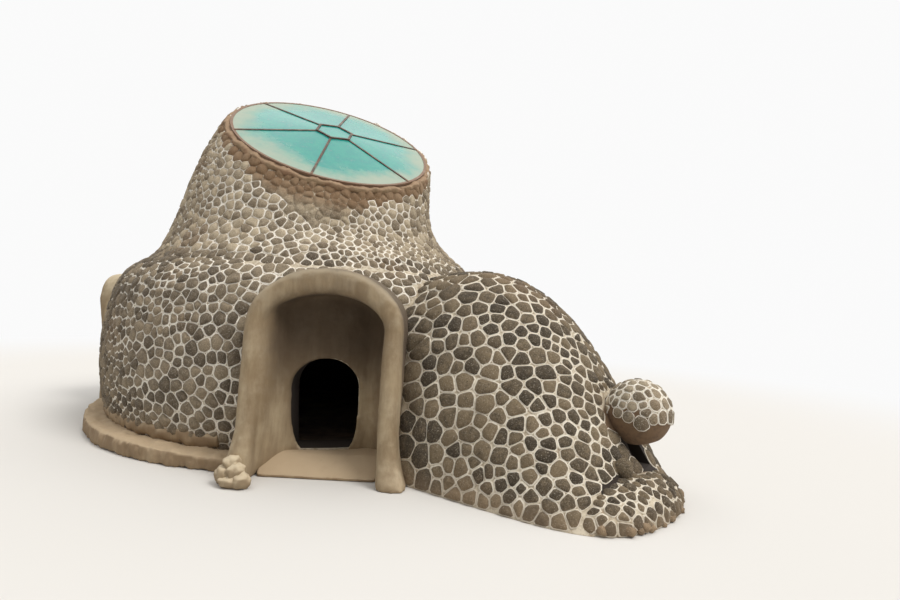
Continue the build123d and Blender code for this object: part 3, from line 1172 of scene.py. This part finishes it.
@dataclass
class Stone:
    """One cell while it is raised: its seed and its top face."""

    seed: Seed
    top: bmesh.types.BMFace
    dice: random.Random
    grain_pitch: float = 26.0
    joint_widths: tuple = (0.7, 1.45)
    smallest_top: float = 0.2
    tone: float = field(init=False)
    width: float = field(init=False)

    def __post_init__(self) -> None:
        """Draw the stone's own tone, and how wide its joint is."""
        self.tone = self.dice.random()
        self.width = self.dice.uniform(*self.joint_widths)

    def lift(self, height: float) -> None:
        """Move the top along the wall's normal."""
        for vertex in self.top.verts:
            vertex.co += self.seed.normal * height

    def shrink(self, thickness: float, round_off: float) -> None:
        """Draw the top's corners towards its middle.

        Args:
            thickness: How far the nearest side moves in.
            round_off: Share by which corners are drawn onto a circle.
        """
        middle = self.top.calc_center_median()
        reaches = [(vertex.co - middle).length for vertex in self.top.verts]
        mean = sum(reaches) / len(reaches)
        keep = max(self.smallest_top, 1 - thickness * self.width / min(reaches))
        for vertex, reach in zip(self.top.verts, reaches):
            vertex.co = middle + (vertex.co - middle) * keep * (1 + (mean / reach - 1) * round_off)

    def roughen(self, height: float) -> None:
        """Make the top uneven."""
        for vertex in self.top.verts:
            vertex.co += self.seed.normal * noise.noise(vertex.co * self.grain_pitch) * height

    def paint(self, layer: bmesh.types.BMLayerItem, mask: float) -> None:
        """Write the stone's tone, and how far its top's corners are joint, into the layer."""
        for vertex in self.top.verts:
            vertex[layer] = (self.tone, mask, 1.0 - self.seed.plain, 1.0)


@dataclass
class EntranceArea:
    """Where the entrance's surround stands, in metres."""

    left: float = 0.03
    right: float = 1.49
    top: float = 2.08
    spring: float = 1.5
    back: float = -1.9

    def covers(self, place: Vector) -> bool:
        """Tell whether a place lies behind the surround or in its recess.

        Args:
            place: Point on the wall.

        Returns:
            True where the wall carries no lumps.
        """
        if place.y > self.back or not self.left < place.x < self.right:
            return False
        if place.z < self.spring:
            return True
        middle, half = (self.left + self.right) / 2, (self.right - self.left) / 2
        across = (place.x - middle) / half
        rise = (place.z - self.spring) / (self.top - self.spring)
        return across * across + rise * rise < 1.0


@dataclass
class SideArea:
    """The smooth recess between the jambs of the side opening, in metres."""

    heading: float = SIDE_OPENING_HEADING
    half_width: float = 0.45
    top: float = 1.8
    spring: float = 1.5
    back: float = 2.2

    def covers(self, place: Vector) -> bool:
        """Tell whether a place lies between the jambs of the side opening.

        Args:
            place: Point on the wall.

        Returns:
            True where the wall carries no lumps.
        """
        across = abs(place.dot(heading_vector(self.heading + QUARTER_TURN))) / self.half_width
        if place.dot(heading_vector(self.heading)) < self.back or across > 1.0:
            return False
        rise = max(0.0, (place.z - self.spring) / (self.top - self.spring))
        return across * across * (rise > 0) + rise * rise < 1.0


@dataclass
class PlasterBody:
    """Pieces of the frame that the mason rubbed into one smooth body."""

    name: str
    nodes: tuple[str, ...]
    finish: PlasterFinish
    slot: Slot
    voxel: float = 0.022
    rounds: int = 5
    swell: float = 0.010
    pitch: float = 3.0
    fine_pitch: float = 5.0
    fine_share: float = 0.3
    weld: float = 0.0004

    def merged(self) -> bpy.types.Object:
        """Join the nodes' meshes and remesh them as one body.

        Returns:
            An object that only lends its shape.
        """
        bm = bmesh.new()
        for name in self.nodes:
            bm.from_mesh(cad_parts[name].data)
        bmesh.ops.remove_doubles(bm, verts=bm.verts[:], dist=self.weld)
        self.add_volumes(bm)
        joined = link_mesh(bm, f"{self.name}_joined")
        self.remesh(joined)
        return joined

    def melt(self, joined: bpy.types.Object, name: str) -> None:
        """Add the modifier that makes one even skin of a body.

        Args:
            joined: The body.
            name: Name of the modifier.
        """
        melt = joined.modifiers.new(name, "REMESH")
        melt.mode = "VOXEL"
        melt.voxel_size = self.voxel

    def remesh(self, joined: bpy.types.Object) -> None:
        """Melt the body's volumes into one skin."""
        self.melt(joined, "melt")

    def add_volumes(self, bm: bmesh.types.BMesh) -> None:
        """Add closed volumes that the nodes lack; plain bodies have none."""

    def shape(self, place: Vector, normal: Vector) -> Vector:
        """Where a point of the body goes as the plaster is rubbed.

        Args:
            place: The point.
            normal: Its outward direction.

        Returns:
            The point's new place.
        """
        wide = noise.noise(place * self.pitch) * self.swell
        fine = noise.noise(place * self.pitch * self.fine_pitch) * self.swell * self.fine_share
        return place + normal * (wide + fine)

    def build(self) -> bpy.types.Object:
        """Make the body.

        Returns:
            The piece that stands for the nodes.
        """
        joined = self.merged()
        bpy.context.view_layer.update()
        evaluated = joined.evaluated_get(bpy.context.evaluated_depsgraph_get())
        bm = bmesh.new()
        bm.from_mesh(evaluated.to_mesh())
        bpy.data.objects.remove(joined)
        for _ in range(self.rounds):
            bmesh.ops.smooth_vert(bm, verts=bm.verts[:], factor=0.5, use_axis_x=True, use_axis_y=True,
                                  use_axis_z=True)
        bm.normal_update()
        moved = [(vertex, self.shape(vertex.co, vertex.normal)) for vertex in bm.verts]
        for vertex, place in moved:
            place.z = max(place.z, 0.0)
            vertex.co = place
        bmesh.ops.recalc_face_normals(bm, faces=bm.faces[:])
        piece = add_piece(bm, self.name, self.finish.build())
        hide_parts(*self.nodes)
        return piece


@dataclass(frozen=True)
class SoftCorner:
    """A corner of the niche, where its lining is drawn forward, in metres."""

    run: float
    depth: float
    curve: float

    def drawn(self, into: float) -> float:
        """How far the lining comes forward at a distance into the corner."""
        return self.depth * clamped(into / self.run) ** self.curve


@dataclass
class EntranceBody(PlasterBody):
    """The entrance's surround and the scooped niche behind it, down to the doorway's edge."""

    middle: float = 0.76
    half_width: float = 0.64
    foot: float = 0.04
    spring: float = 1.5
    rise: float = 0.5
    front: float = -3.3
    batter: float = math.tan(math.radians(8.0))
    setback: float = 0.07
    door_x: float = 0.725
    door_half_width: float = 0.347
    door_spring: float = 0.85
    door_rise: float = 0.305
    door_drop: float = 0.74
    door_corner: int = 4
    door_taper: float = 0.07
    door_start: float = -3.6
    door_run: float = 1.8
    flare: float = 0.11
    flare_height: float = 0.55
    flare_start: float = 0.55
    flare_run: float = 0.2
    flare_forward: float = 0.06
    flare_front: float = -3.1
    curve_top: float = 1.9
    left_corner: SoftCorner = SoftCorner(run=0.24, depth=0.40, curve=1.35)
    right_corner: SoftCorner = SoftCorner(run=0.22, depth=0.24, curve=1.7)
    head_corner: SoftCorner = SoftCorner(run=0.30, depth=0.16, curve=2.0)
    left_edge: float = 0.40
    right_edge: float = 1.14
    lining_gap: float = 0.018
    lining_sunk: float = 0.07
    tool: Optional[bpy.types.Object] = None

    def face(self, x: float, z: float) -> float:
        """Place of the wall's outer face along Y."""
        return -math.sqrt(VAULT.radius(min(z, self.curve_top)) ** 2 - x * x)

    def head(self, x: float) -> float:
        """Height of the niche's lining at a place across it."""
        across = min(1.0, abs(x - self.middle) / self.half_width)
        return self.spring + self.rise * math.sqrt(1 - across * across)

    def lining(self, x: float, z: float) -> float:
        """Depth of the niche's face at a place, with soft corners at its sides and head.

        Args:
            x: Place across the niche.
            z: Height.

        Returns:
            The place along Y.
        """
        drawn = self.face(x, z) - self.lining_gap
        drawn -= self.left_corner.drawn(self.left_edge - x)
        drawn -= self.right_corner.drawn(x - self.right_edge)
        drawn -= self.head_corner.drawn(z - self.head(x) + self.head_corner.run)
        return max(drawn, self.front + self.batter * z + self.setback)

    def add_volumes(self, bm: bmesh.types.BMesh) -> None:
        """Add the niche's lining as a slab whose face is drawn forward at its edges.

        Args:
            bm: Mesh to add to.
        """
        back = bmesh.ops.create_grid(bm, x_segments=36, y_segments=44, size=1.0)
        faces = list({face for vertex in back["verts"] for face in vertex.link_faces})
        for vertex in back["verts"]:
            x = self.middle + vertex.co.x * self.half_width
            z = self.foot + (vertex.co.y + 1) / 2 * (self.head(x) - self.foot)
            vertex.co = Vector((x, 0.0, z))
        front = bmesh.ops.extrude_face_region(bm, geom=faces, use_keep_orig=True)
        moved = [item for item in front["geom"] if isinstance(item, bmesh.types.BMVert)]
        for vertex in moved:
            vertex.co.y = self.lining(vertex.co.x, vertex.co.z)
        for vertex in back["verts"]:
            vertex.co.y = self.face(vertex.co.x, vertex.co.z) + self.lining_sunk
        bmesh.ops.recalc_face_normals(bm, faces=bm.faces[:])

    def cutter(self) -> bpy.types.Object:
        """Make the doorway's prism.

        Returns:
            An object that only cuts.
        """
        bm = bmesh.new()
        ring = bmesh.ops.create_circle(bm, cap_ends=True, segments=56, radius=1.0)
        for vertex in ring["verts"]:
            across, up = vertex.co.x, vertex.co.y
            if up >= 0:
                x, z = across * self.door_half_width, up * self.door_rise
            else:
                full = (1 - abs(up) ** self.door_corner) ** (1 / self.door_corner)
                x = math.copysign(full, across) * self.door_half_width * (1 - self.door_taper * abs(up))
                z = up * self.door_drop
            vertex.co = Vector((self.door_x + x, self.door_start, self.door_spring + z))
        pulled = bmesh.ops.extrude_face_region(bm, geom=bm.faces[:], use_keep_orig=True)
        moved = [item for item in pulled["geom"] if isinstance(item, bmesh.types.BMVert)]
        bmesh.ops.translate(bm, verts=moved, vec=(0.0, self.door_run, 0.0))
        bmesh.ops.recalc_face_normals(bm, faces=bm.faces[:])
        return link_mesh(bm, "doorway_cut")

    def remesh(self, joined: bpy.types.Object) -> None:
        """Melt the volumes, cut the doorway through, and melt its edge.

        Args:
            joined: The body.
        """
        super().remesh(joined)
        cut = joined.modifiers.new("doorway", "BOOLEAN")
        cut.operation = "DIFFERENCE"
        cut.solver = "EXACT"
        self.tool = self.cutter()
        cut.object = self.tool
        self.melt(joined, "soften")

    def shape(self, place: Vector, normal: Vector) -> Vector:
        """Rub the plaster, and spread the jambs' feet.

        Args:
            place: The point.
            normal: Its outward direction.

        Returns:
            The point's new place.
        """
        moved = super().shape(place, normal)
        side = place.x - self.middle
        if place.z < self.flare_height and abs(side) > self.flare_start:
            share = (1.0 - place.z / self.flare_height) ** 2
            out = clamped((abs(side) - self.flare_start) / self.flare_run)
            moved.x += math.copysign(self.flare * share * out, side)
            moved.y -= self.flare_forward * share if place.y < self.flare_front else 0.0
        return moved

    def build(self) -> bpy.types.Object:
        """Make the body, and drop the doorway's prism.

        Returns:
            The piece that stands for the surround's nodes.
        """
        piece = super().build()
        bpy.data.objects.remove(self.tool)
        return piece


@dataclass
class SideBody(PlasterBody):
    """The surround of the side opening, with a square-shouldered head that stands out."""

    heading: float = SIDE_OPENING_HEADING
    half_width: float = 0.62
    spring: float = 1.54
    rise: float = 0.46
    square: float = 4.0
    spread: float = 0.6
    out: float = 0.13
    lean_foot: float = 0.9
    lean_rise: float = 0.7
    lean_back: float = 2.7
    lean_run: float = 0.4
    square_back: float = 2.6
    square_size: float = 0.6

    def shape(self, place: Vector, normal: Vector) -> Vector:
        """Square the head's shoulders and lean it out.

        Args:
            place: The point.
            normal: Its outward direction.

        Returns:
            The point's new place.
        """
        moved = super().shape(place, normal)
        outwards, along = heading_vector(self.heading), heading_vector(self.heading + QUARTER_TURN)
        reach = moved.dot(outwards)
        share = clamped((moved.z - self.lean_foot) / self.lean_rise)
        share *= clamped((reach - self.lean_back) / self.lean_run)
        moved += outwards * self.out * share
        across, up = moved.dot(along) / self.half_width, (moved.z - self.spring) / self.rise
        size = math.hypot(across, up)
        if up > 0 and size > self.square_size and reach > self.square_back:
            grow = size / (abs(across) ** self.square + up ** self.square) ** (1 / self.square) - 1
            moved += along * moved.dot(along) * grow * self.spread + UP * (moved.z - self.spring) * grow
        return moved


@dataclass
class StepBody(PlasterBody):
    """The sill between the jambs, worn down to a ramp at its front."""

    back: float = -2.72
    front: float = -3.04
    worn: float = 0.8
    curve: float = 1.3

    def shape(self, place: Vector, normal: Vector) -> Vector:
        """Lower the front of the step.

        Args:
            place: The point.
            normal: Its outward direction.

        Returns:
            The point's new place.
        """
        moved = super().shape(place, normal)
        share = clamped((self.back - place.y) / (self.back - self.front))
        moved.z *= 1 - self.worn * share ** self.curve
        return moved


@dataclass
class BenchBody(PlasterBody):
    """The low bench, higher at its left end, with a ribbed outer edge."""

    start: float = 184.0
    end: float = 267.5
    climb: float = 0.75
    ribs: float = 0.012
    rib_pitch: int = 78
    rib_fade: float = 3.2
    rib_radius: float = 2.85
    grain: float = 0.014
    grain_pitch: float = 13.0
    fine_grain_pitch: float = 31.0
    fine_grain_share: float = 0.6

    def shape(self, place: Vector, normal: Vector) -> Vector:
        """Raise the left end, and press ribs into the edge near the entrance.

        Args:
            place: The point.
            normal: Its outward direction.

        Returns:
            The point's new place.
        """
        moved = super().shape(place, normal)
        heading = math.degrees(math.atan2(place.y, place.x)) % 360
        share = clamped((self.end - heading) / (self.end - self.start))
        moved.z *= 1 + self.climb * share
        level = math.hypot(place.x, place.y)
        fine = noise.noise(place * self.fine_grain_pitch) * self.fine_grain_share
        moved += normal * self.grain * (noise.noise(place * self.grain_pitch) + fine)
        near = max(0.0, 1 - share * self.rib_fade)
        if level > self.rib_radius:
            moved += normal * self.ribs * near * math.sin(math.radians(heading) * self.rib_pitch)
        return moved


@dataclass
class Lump:
    """A loose or half-sunk lump of earth."""

    place: Vector
    size: Vector
    rough: float = 0.16


@dataclass
class LumpHeap:
    """Several lumps as one piece."""

    name: str
    lumps: list[Lump]
    finish: Union[LumpFinish, PlasterFinish]
    slot: Slot
    divisions: int = 3
    wide_pitch: float = 1.7
    fine_pitch: float = 5.0
    fine_share: float = 0.3

    def build(self) -> bpy.types.Object:
        """Make the heap.

        Returns:
            The piece.
        """
        bm = bmesh.new()
        layer = bm.verts.layers.float_color.new(CELL_LAYER)
        for number, lump in enumerate(self.lumps):
            made = bmesh.ops.create_icosphere(bm, subdivisions=self.divisions, radius=1.0)
            shift = Vector((number * 3.7, number * 1.9, number * 5.3))
            for vertex in made["verts"]:
                out = vertex.co.copy()
                wide = noise.noise(out * self.wide_pitch + shift)
                fine = noise.noise(out * self.fine_pitch + shift)
                swell = 1 + lump.rough * wide + self.fine_share * lump.rough * fine
                vertex.co = Vector(part * size for part, size in zip(out * swell, lump.size)) + lump.place
                vertex.co.z = max(vertex.co.z, 0.0)
                vertex[layer] = (noise.noise(shift) * 0.5 + 0.5, 0.0, 1.0, 1.0)
        return add_piece(bm, self.name, self.finish.build())


@dataclass
class FootSkirt:
    """Narrow band of plaster round the foot of the lumps, over the bench."""

    start: float = 186.0
    end: float = 262.0
    steps: int = 180
    low: float = 0.145
    high: float = 0.30
    depth: float = 0.045
    sunk: float = 0.05
    rings: int = 6
    tilt: float = 0.10
    swell: float = 0.022
    swell_pitch: float = 11.0
    rag: float = 0.035
    rag_pitch: float = 6.0
    fine_rag: float = 0.020
    fine_rag_pitch: float = 19.0
    hem: float = 0.03

    def raised(self, place: Vector) -> float:
        """How far the band climbs towards its left end."""
        heading = math.degrees(math.atan2(place.y, place.x)) % 360
        return self.tilt * (self.end - heading) / (self.end - self.start)

    def build(self) -> bpy.types.Object:
        """Make the band.

        Returns:
            The piece.
        """
        bm = bmesh.new()
        outwards = heading_vector(self.start)
        profile = []
        for number in range(self.rings + 1):
            share = number / self.rings
            height = self.low + (self.high - self.low) * share
            bulge = self.depth * math.sin(math.pi * min(1.0, 0.22 + share * 0.8)) ** 0.6
            profile.append(outwards * (VAULT.radius(height) + bulge) + UP * height)
        back = [outwards * (VAULT.radius(height) - self.sunk) + UP * height
                for height in (self.high, self.low)]
        corners = [bm.verts.new(corner) for corner in profile + back]
        face = bm.faces.new(corners)
        bmesh.ops.spin(bm, geom=[face], cent=(0, 0, 0), axis=UP, steps=self.steps, use_merge=False,
                       angle=math.radians(self.end - self.start), use_duplicate=False)
        bmesh.ops.remove_doubles(bm, verts=bm.verts[:], dist=1e-5)
        bmesh.ops.recalc_face_normals(bm, faces=bm.faces[:])
        bm.normal_update()
        for vertex in bm.verts:
            level = Vector((vertex.co.x, vertex.co.y, 0.0))
            if level.length > VAULT.radius(vertex.co.z) - 0.02:
                ragged = noise.noise(level * self.rag_pitch) * self.rag
                ragged += noise.noise(level * self.fine_rag_pitch) * self.fine_rag
                low = vertex.co.z < self.low + self.hem
                vertex.co += vertex.normal * noise.noise(vertex.co * self.swell_pitch) * self.swell
                vertex.co.z += ragged if low else ragged * 0.5
            vertex.co.z += self.raised(vertex.co)
        return add_piece(bm, "foot_skirt", BENCH_PLASTER.build())


@dataclass(frozen=True)
class Skylight:
    """The tilted round skylight: panes, steel and the mud curb under them, in metres."""

    heading: float = -64.0
    tilt: float = math.radians(34.7)
    centre: Vector = Vector((0.2, -0.4, 4.02))
    normal: Vector = heading_vector(heading) * math.sin(tilt) + UP * math.cos(tilt)
    radius: float = 1.37

    def build(self) -> None:
        """Dress the panes and the frame, and shape the curb."""
        panes = GlassFinish("turquoise_panes", self.centre, self.radius).build()
        steel = SteelFinish().build()
        for name in ("skylight_panes", "skylight_hub_pane"):
            dress_node(name, panes)
        dress_node("skylight_frame", steel)
        PlasterBody("mud_curb", ("skylight_curb",), CURB_PLASTER, Slot.CURB, voxel=0.018, rounds=3,
                    swell=0.034, pitch=8.0).build()


SKYLIGHT = Skylight()


@dataclass
class Walls:
    """The walls' own nodes, the floors and every lump on them."""

    vault: tuple[str, ...] = (
        "wall_left_of_entrance", "wall_right_of_entrance", "wall_over_entrance", "wall_left_of_passage",
        "wall_right_of_passage", "wall_over_passage", "right_wall", "back_right_wall", "back_wall",
        "back_left_wall", "wall_behind_side_opening", "wall_before_side_opening", "wall_over_side_opening",
        "left_wall", "front_wall",
    )
    neck: tuple[str, ...] = ("neck_front", "neck_right", "neck_back", "neck_left")
    apse: tuple[str, ...] = ("apse_front_wall", "apse_back_wall", "apse_vault", "apse_end_wall")
    hood: tuple[str, ...] = ("window_hood",)
    toe: tuple[str, ...] = ("apse_toe",)
    floors: tuple[str, ...] = ("earth_floor", "apse_floor")

    def build(self) -> None:
        """Dress the nodes and lay the lumps."""
        for finish, names in ((WALL, self.vault + self.neck), (APSE_WALL, self.apse),
                              (OUTER_WALL, self.hood + self.toe)):
            material = finish.build()
            for name in names:
                dress_node(name, material)
        floor = FloorFinish().build()
        for name in self.floors:
            dress_node(name, floor)
        regions = [
            Region("hood_lumps", self.hood, spacing=0.105, finish=HOOD_STONE, bead=0.005, dome=0.009,
                   widest=0.9),
            Region("toe_lumps", self.toe, spacing=0.095, finish=APSE_STONE, widest=0.9),
            Region("apse_lumps", self.apse, spacing=0.132, finish=APSE_STONE, bead=0.0062, dome=0.014),
            Region("neck_lumps", self.neck, spacing=0.092, finish=NECK_STONE, split=2),
            Region("vault_lumps", self.vault, spacing=0.099, finish=STONE, split=3),
        ]
        Lumps(regions, Skin(), (EntranceArea(), SideArea())).build()


@dataclass
class Surrounds:
    """Plastered surrounds of both openings, with the entrance's sill."""

    def build(self) -> None:
        """Make the three plaster bodies."""
        EntranceBody("entrance_surround", ("entrance_left_jamb", "entrance_right_jamb", "entrance_arch"),
                     PLASTER, Slot.PLASTER, voxel=0.02, rounds=6).build()
        SideBody("side_surround",
                 ("side_surround_back_jamb", "side_surround_front_jamb", "side_surround_arch"),
                 SIDE_PLASTER, Slot.PLASTER, voxel=0.026).build()
        StepBody("entrance_step", ("entrance_sill",), BENCH_PLASTER, Slot.PLASTER, voxel=0.02, rounds=7,
                 swell=0.006).build()


@dataclass
class Foot:
    """Bench, skirt and loose lumps round the foot of the walls, in metres."""

    knobs: tuple = (
        ((0.03, -3.33, 0.20), (0.09, 0.085, 0.08)),
        ((0.09, -3.38, 0.14), (0.09, 0.085, 0.085)),
        ((0.15, -3.42, 0.07), (0.09, 0.08, 0.08)),
        ((-0.02, -3.36, 0.10), (0.10, 0.08, 0.10)),
        ((0.05, -3.42, 0.055), (0.11, 0.07, 0.065)),
    )
    boss: tuple = ((3.665, -3.50, 0.385), (0.095, 0.095, 0.10))
    rubble_count: int = 46
    rubble_start: float = 5.07
    rubble_shift: float = 0.42
    rubble_run: float = 0.40
    rubble_half_width: float = 0.84
    rubble_sweep: float = 156.0
    rubble_scatter: float = 0.4
    rubble_reaches: tuple = (0.82, 1.02)
    rubble_sizes: tuple = (0.028, 0.06)
    rubble_heights: tuple = (0.3, 0.9)
    rubble_widths: tuple = (0.8, 1.2)
    rubble_flatness: float = 0.8
    rubble_bank: float = 0.10
    rough: float = 0.3
    boss_rough: float = 0.08

    def build(self) -> None:
        """Make every piece at the foot."""
        BenchBody("coil_bench", ("bench_left", "bench_front"), BENCH_PLASTER, Slot.PLASTER, voxel=0.02,
                  rounds=4, swell=0.016, pitch=6.0).build()
        FootSkirt().build()
        knobs = [Lump(Vector(place), Vector(size), self.rough) for place, size in self.knobs]
        LumpHeap("bench_knobs", knobs, SIDE_PLASTER, Slot.PLASTER).build()
        LumpHeap("toe_rubble", self.rubble(), TOE_STONE, Slot.LUMPS, divisions=2).build()
        place, size = self.boss
        boss = Lump(Vector(place), Vector(size), self.boss_rough)
        LumpHeap("window_boss", [boss], APSE_STONE, Slot.LUMPS).build()

    def rubble(self) -> list[Lump]:
        """Stones along the outer edge of the toe.

        Returns:
            Half-sunk lumps of mixed sizes.
        """
        dice = random.Random(11)
        middle = LOW_WINDOW.along * self.rubble_start + LOW_WINDOW.across * self.rubble_shift
        found = []
        for number in range(self.rubble_count):
            step = number + dice.uniform(-self.rubble_scatter, self.rubble_scatter)
            turn = math.radians(self.rubble_sweep * step / (self.rubble_count - 1) - self.rubble_sweep / 2)
            reach = dice.uniform(*self.rubble_reaches)
            out = LOW_WINDOW.along * (self.rubble_run * reach * math.cos(turn))
            place = middle + out + LOW_WINDOW.across * (self.rubble_half_width * reach * math.sin(turn))
            size = dice.uniform(*self.rubble_sizes)
            height = dice.uniform(*self.rubble_heights) * size
            height += self.rubble_bank * (self.rubble_reaches[1] - reach)
            widths = Vector((size, size * dice.uniform(*self.rubble_widths), size * self.rubble_flatness))
            found.append(Lump(place + UP * height, widths, self.rough))
        return found


@dataclass
class Stage:
    """Pale floor, soft light and the camera."""

    eye: Vector = Vector((2.0, -9.0, 1.85))
    roll: float = math.radians(3.0)
    lens: float = 24.0
    film_width: float = 36.0
    floor_size: float = 120.0
    floor_drop: float = 0.002
    sun_colour: tuple = (1.0, 0.98, 0.95)
    sky_colour: tuple = (0.93, 0.96, 1.0, 1.0)
    sky_strength: float = 0.34
    lamps: tuple = (("soft_sun", 1.5, 22.0, (0.72, -0.42, 1.05)), ("high_sky", 1.9, 95.0, (0.1, 0.05, 1.0)))

    def build(self) -> None:
        """Set the stage."""
        self.lay_floor()
        self.hang_lamps()
        self.light_sky()
        self.stand_camera()
        bpy.context.scene.view_settings.view_transform = "Standard"

    def lay_floor(self) -> None:
        """Lay a plain pale floor just under the house."""
        bm = bmesh.new()
        bmesh.ops.create_grid(bm, x_segments=1, y_segments=1, size=self.floor_size)
        bmesh.ops.translate(bm, verts=bm.verts[:], vec=(0, 0, -self.floor_drop))
        floor = link_mesh(bm, "floor")
        floor.data.materials.append(StageFinish().build())

    def hang_lamps(self) -> None:
        """Hang the two soft lamps."""
        for name, energy, spread, aim in self.lamps:
            sun = bpy.data.lights.new(name, "SUN")
            sun.energy = energy
            sun.angle = math.radians(spread)
            sun.color = self.sun_colour
            lamp = bpy.data.objects.new(name, sun)
            lamp.rotation_euler = Vector(aim).to_track_quat("Z", "Y").to_euler()
            bpy.context.scene.collection.objects.link(lamp)

    def light_sky(self) -> None:
        """Light the sky evenly, and show it as the backdrop."""
        world = bpy.data.worlds.new("sky")
        world.use_nodes = True
        tree = world.node_tree
        sky = tree.nodes["Background"]
        sky.inputs["Color"].default_value = self.sky_colour
        sky.inputs["Strength"].default_value = self.sky_strength
        shown = tree.nodes.new("ShaderNodeBackground")
        shown.inputs["Color"].default_value = BACKDROP
        shown.inputs["Strength"].default_value = 1.0
        rays = tree.nodes.new("ShaderNodeLightPath")
        seen = rays.outputs["Is Camera Ray"]
        for kind in ("Is Glossy Ray", "Is Transmission Ray"):
            either = tree.nodes.new("ShaderNodeMath")
            either.operation = "MAXIMUM"
            tree.links.new(seen, either.inputs[0])
            tree.links.new(rays.outputs[kind], either.inputs[1])
            seen = either.outputs[0]
        blend = tree.nodes.new("ShaderNodeMixShader")
        tree.links.new(seen, blend.inputs[0])
        tree.links.new(sky.outputs[0], blend.inputs[1])
        tree.links.new(shown.outputs[0], blend.inputs[2])
        tree.links.new(blend.outputs[0], tree.nodes["World Output"].inputs["Surface"])
        bpy.context.scene.world = world

    def stand_camera(self) -> None:
        """Stand the camera where the photograph was taken from."""
        data = bpy.data.cameras.new("camera")
        data.lens = self.lens
        data.sensor_width = self.film_width
        camera = bpy.data.objects.new("camera", data)
        right = Vector((math.cos(self.roll), 0.0, math.sin(self.roll)))
        up = Vector((-math.sin(self.roll), 0.0, math.cos(self.roll)))
        back = Vector((0.0, -1.0, 0.0))
        turn = Matrix((right, up, back)).transposed()
        camera.matrix_world = Matrix.Translation(self.eye) @ turn.to_4x4()
        bpy.context.scene.collection.objects.link(camera)
        bpy.context.scene.camera = camera


def main() -> None:
    """Build every sub-assembly in order."""
    logging.basicConfig(level=logging.INFO, format="%(message)s")
    for assembly in (Walls(), Surrounds(), Foot(), SKYLIGHT, Stage()):
        assembly.build()
        log.info("%s done", type(assembly).__name__)


if __name__ == "__main__":
    main()
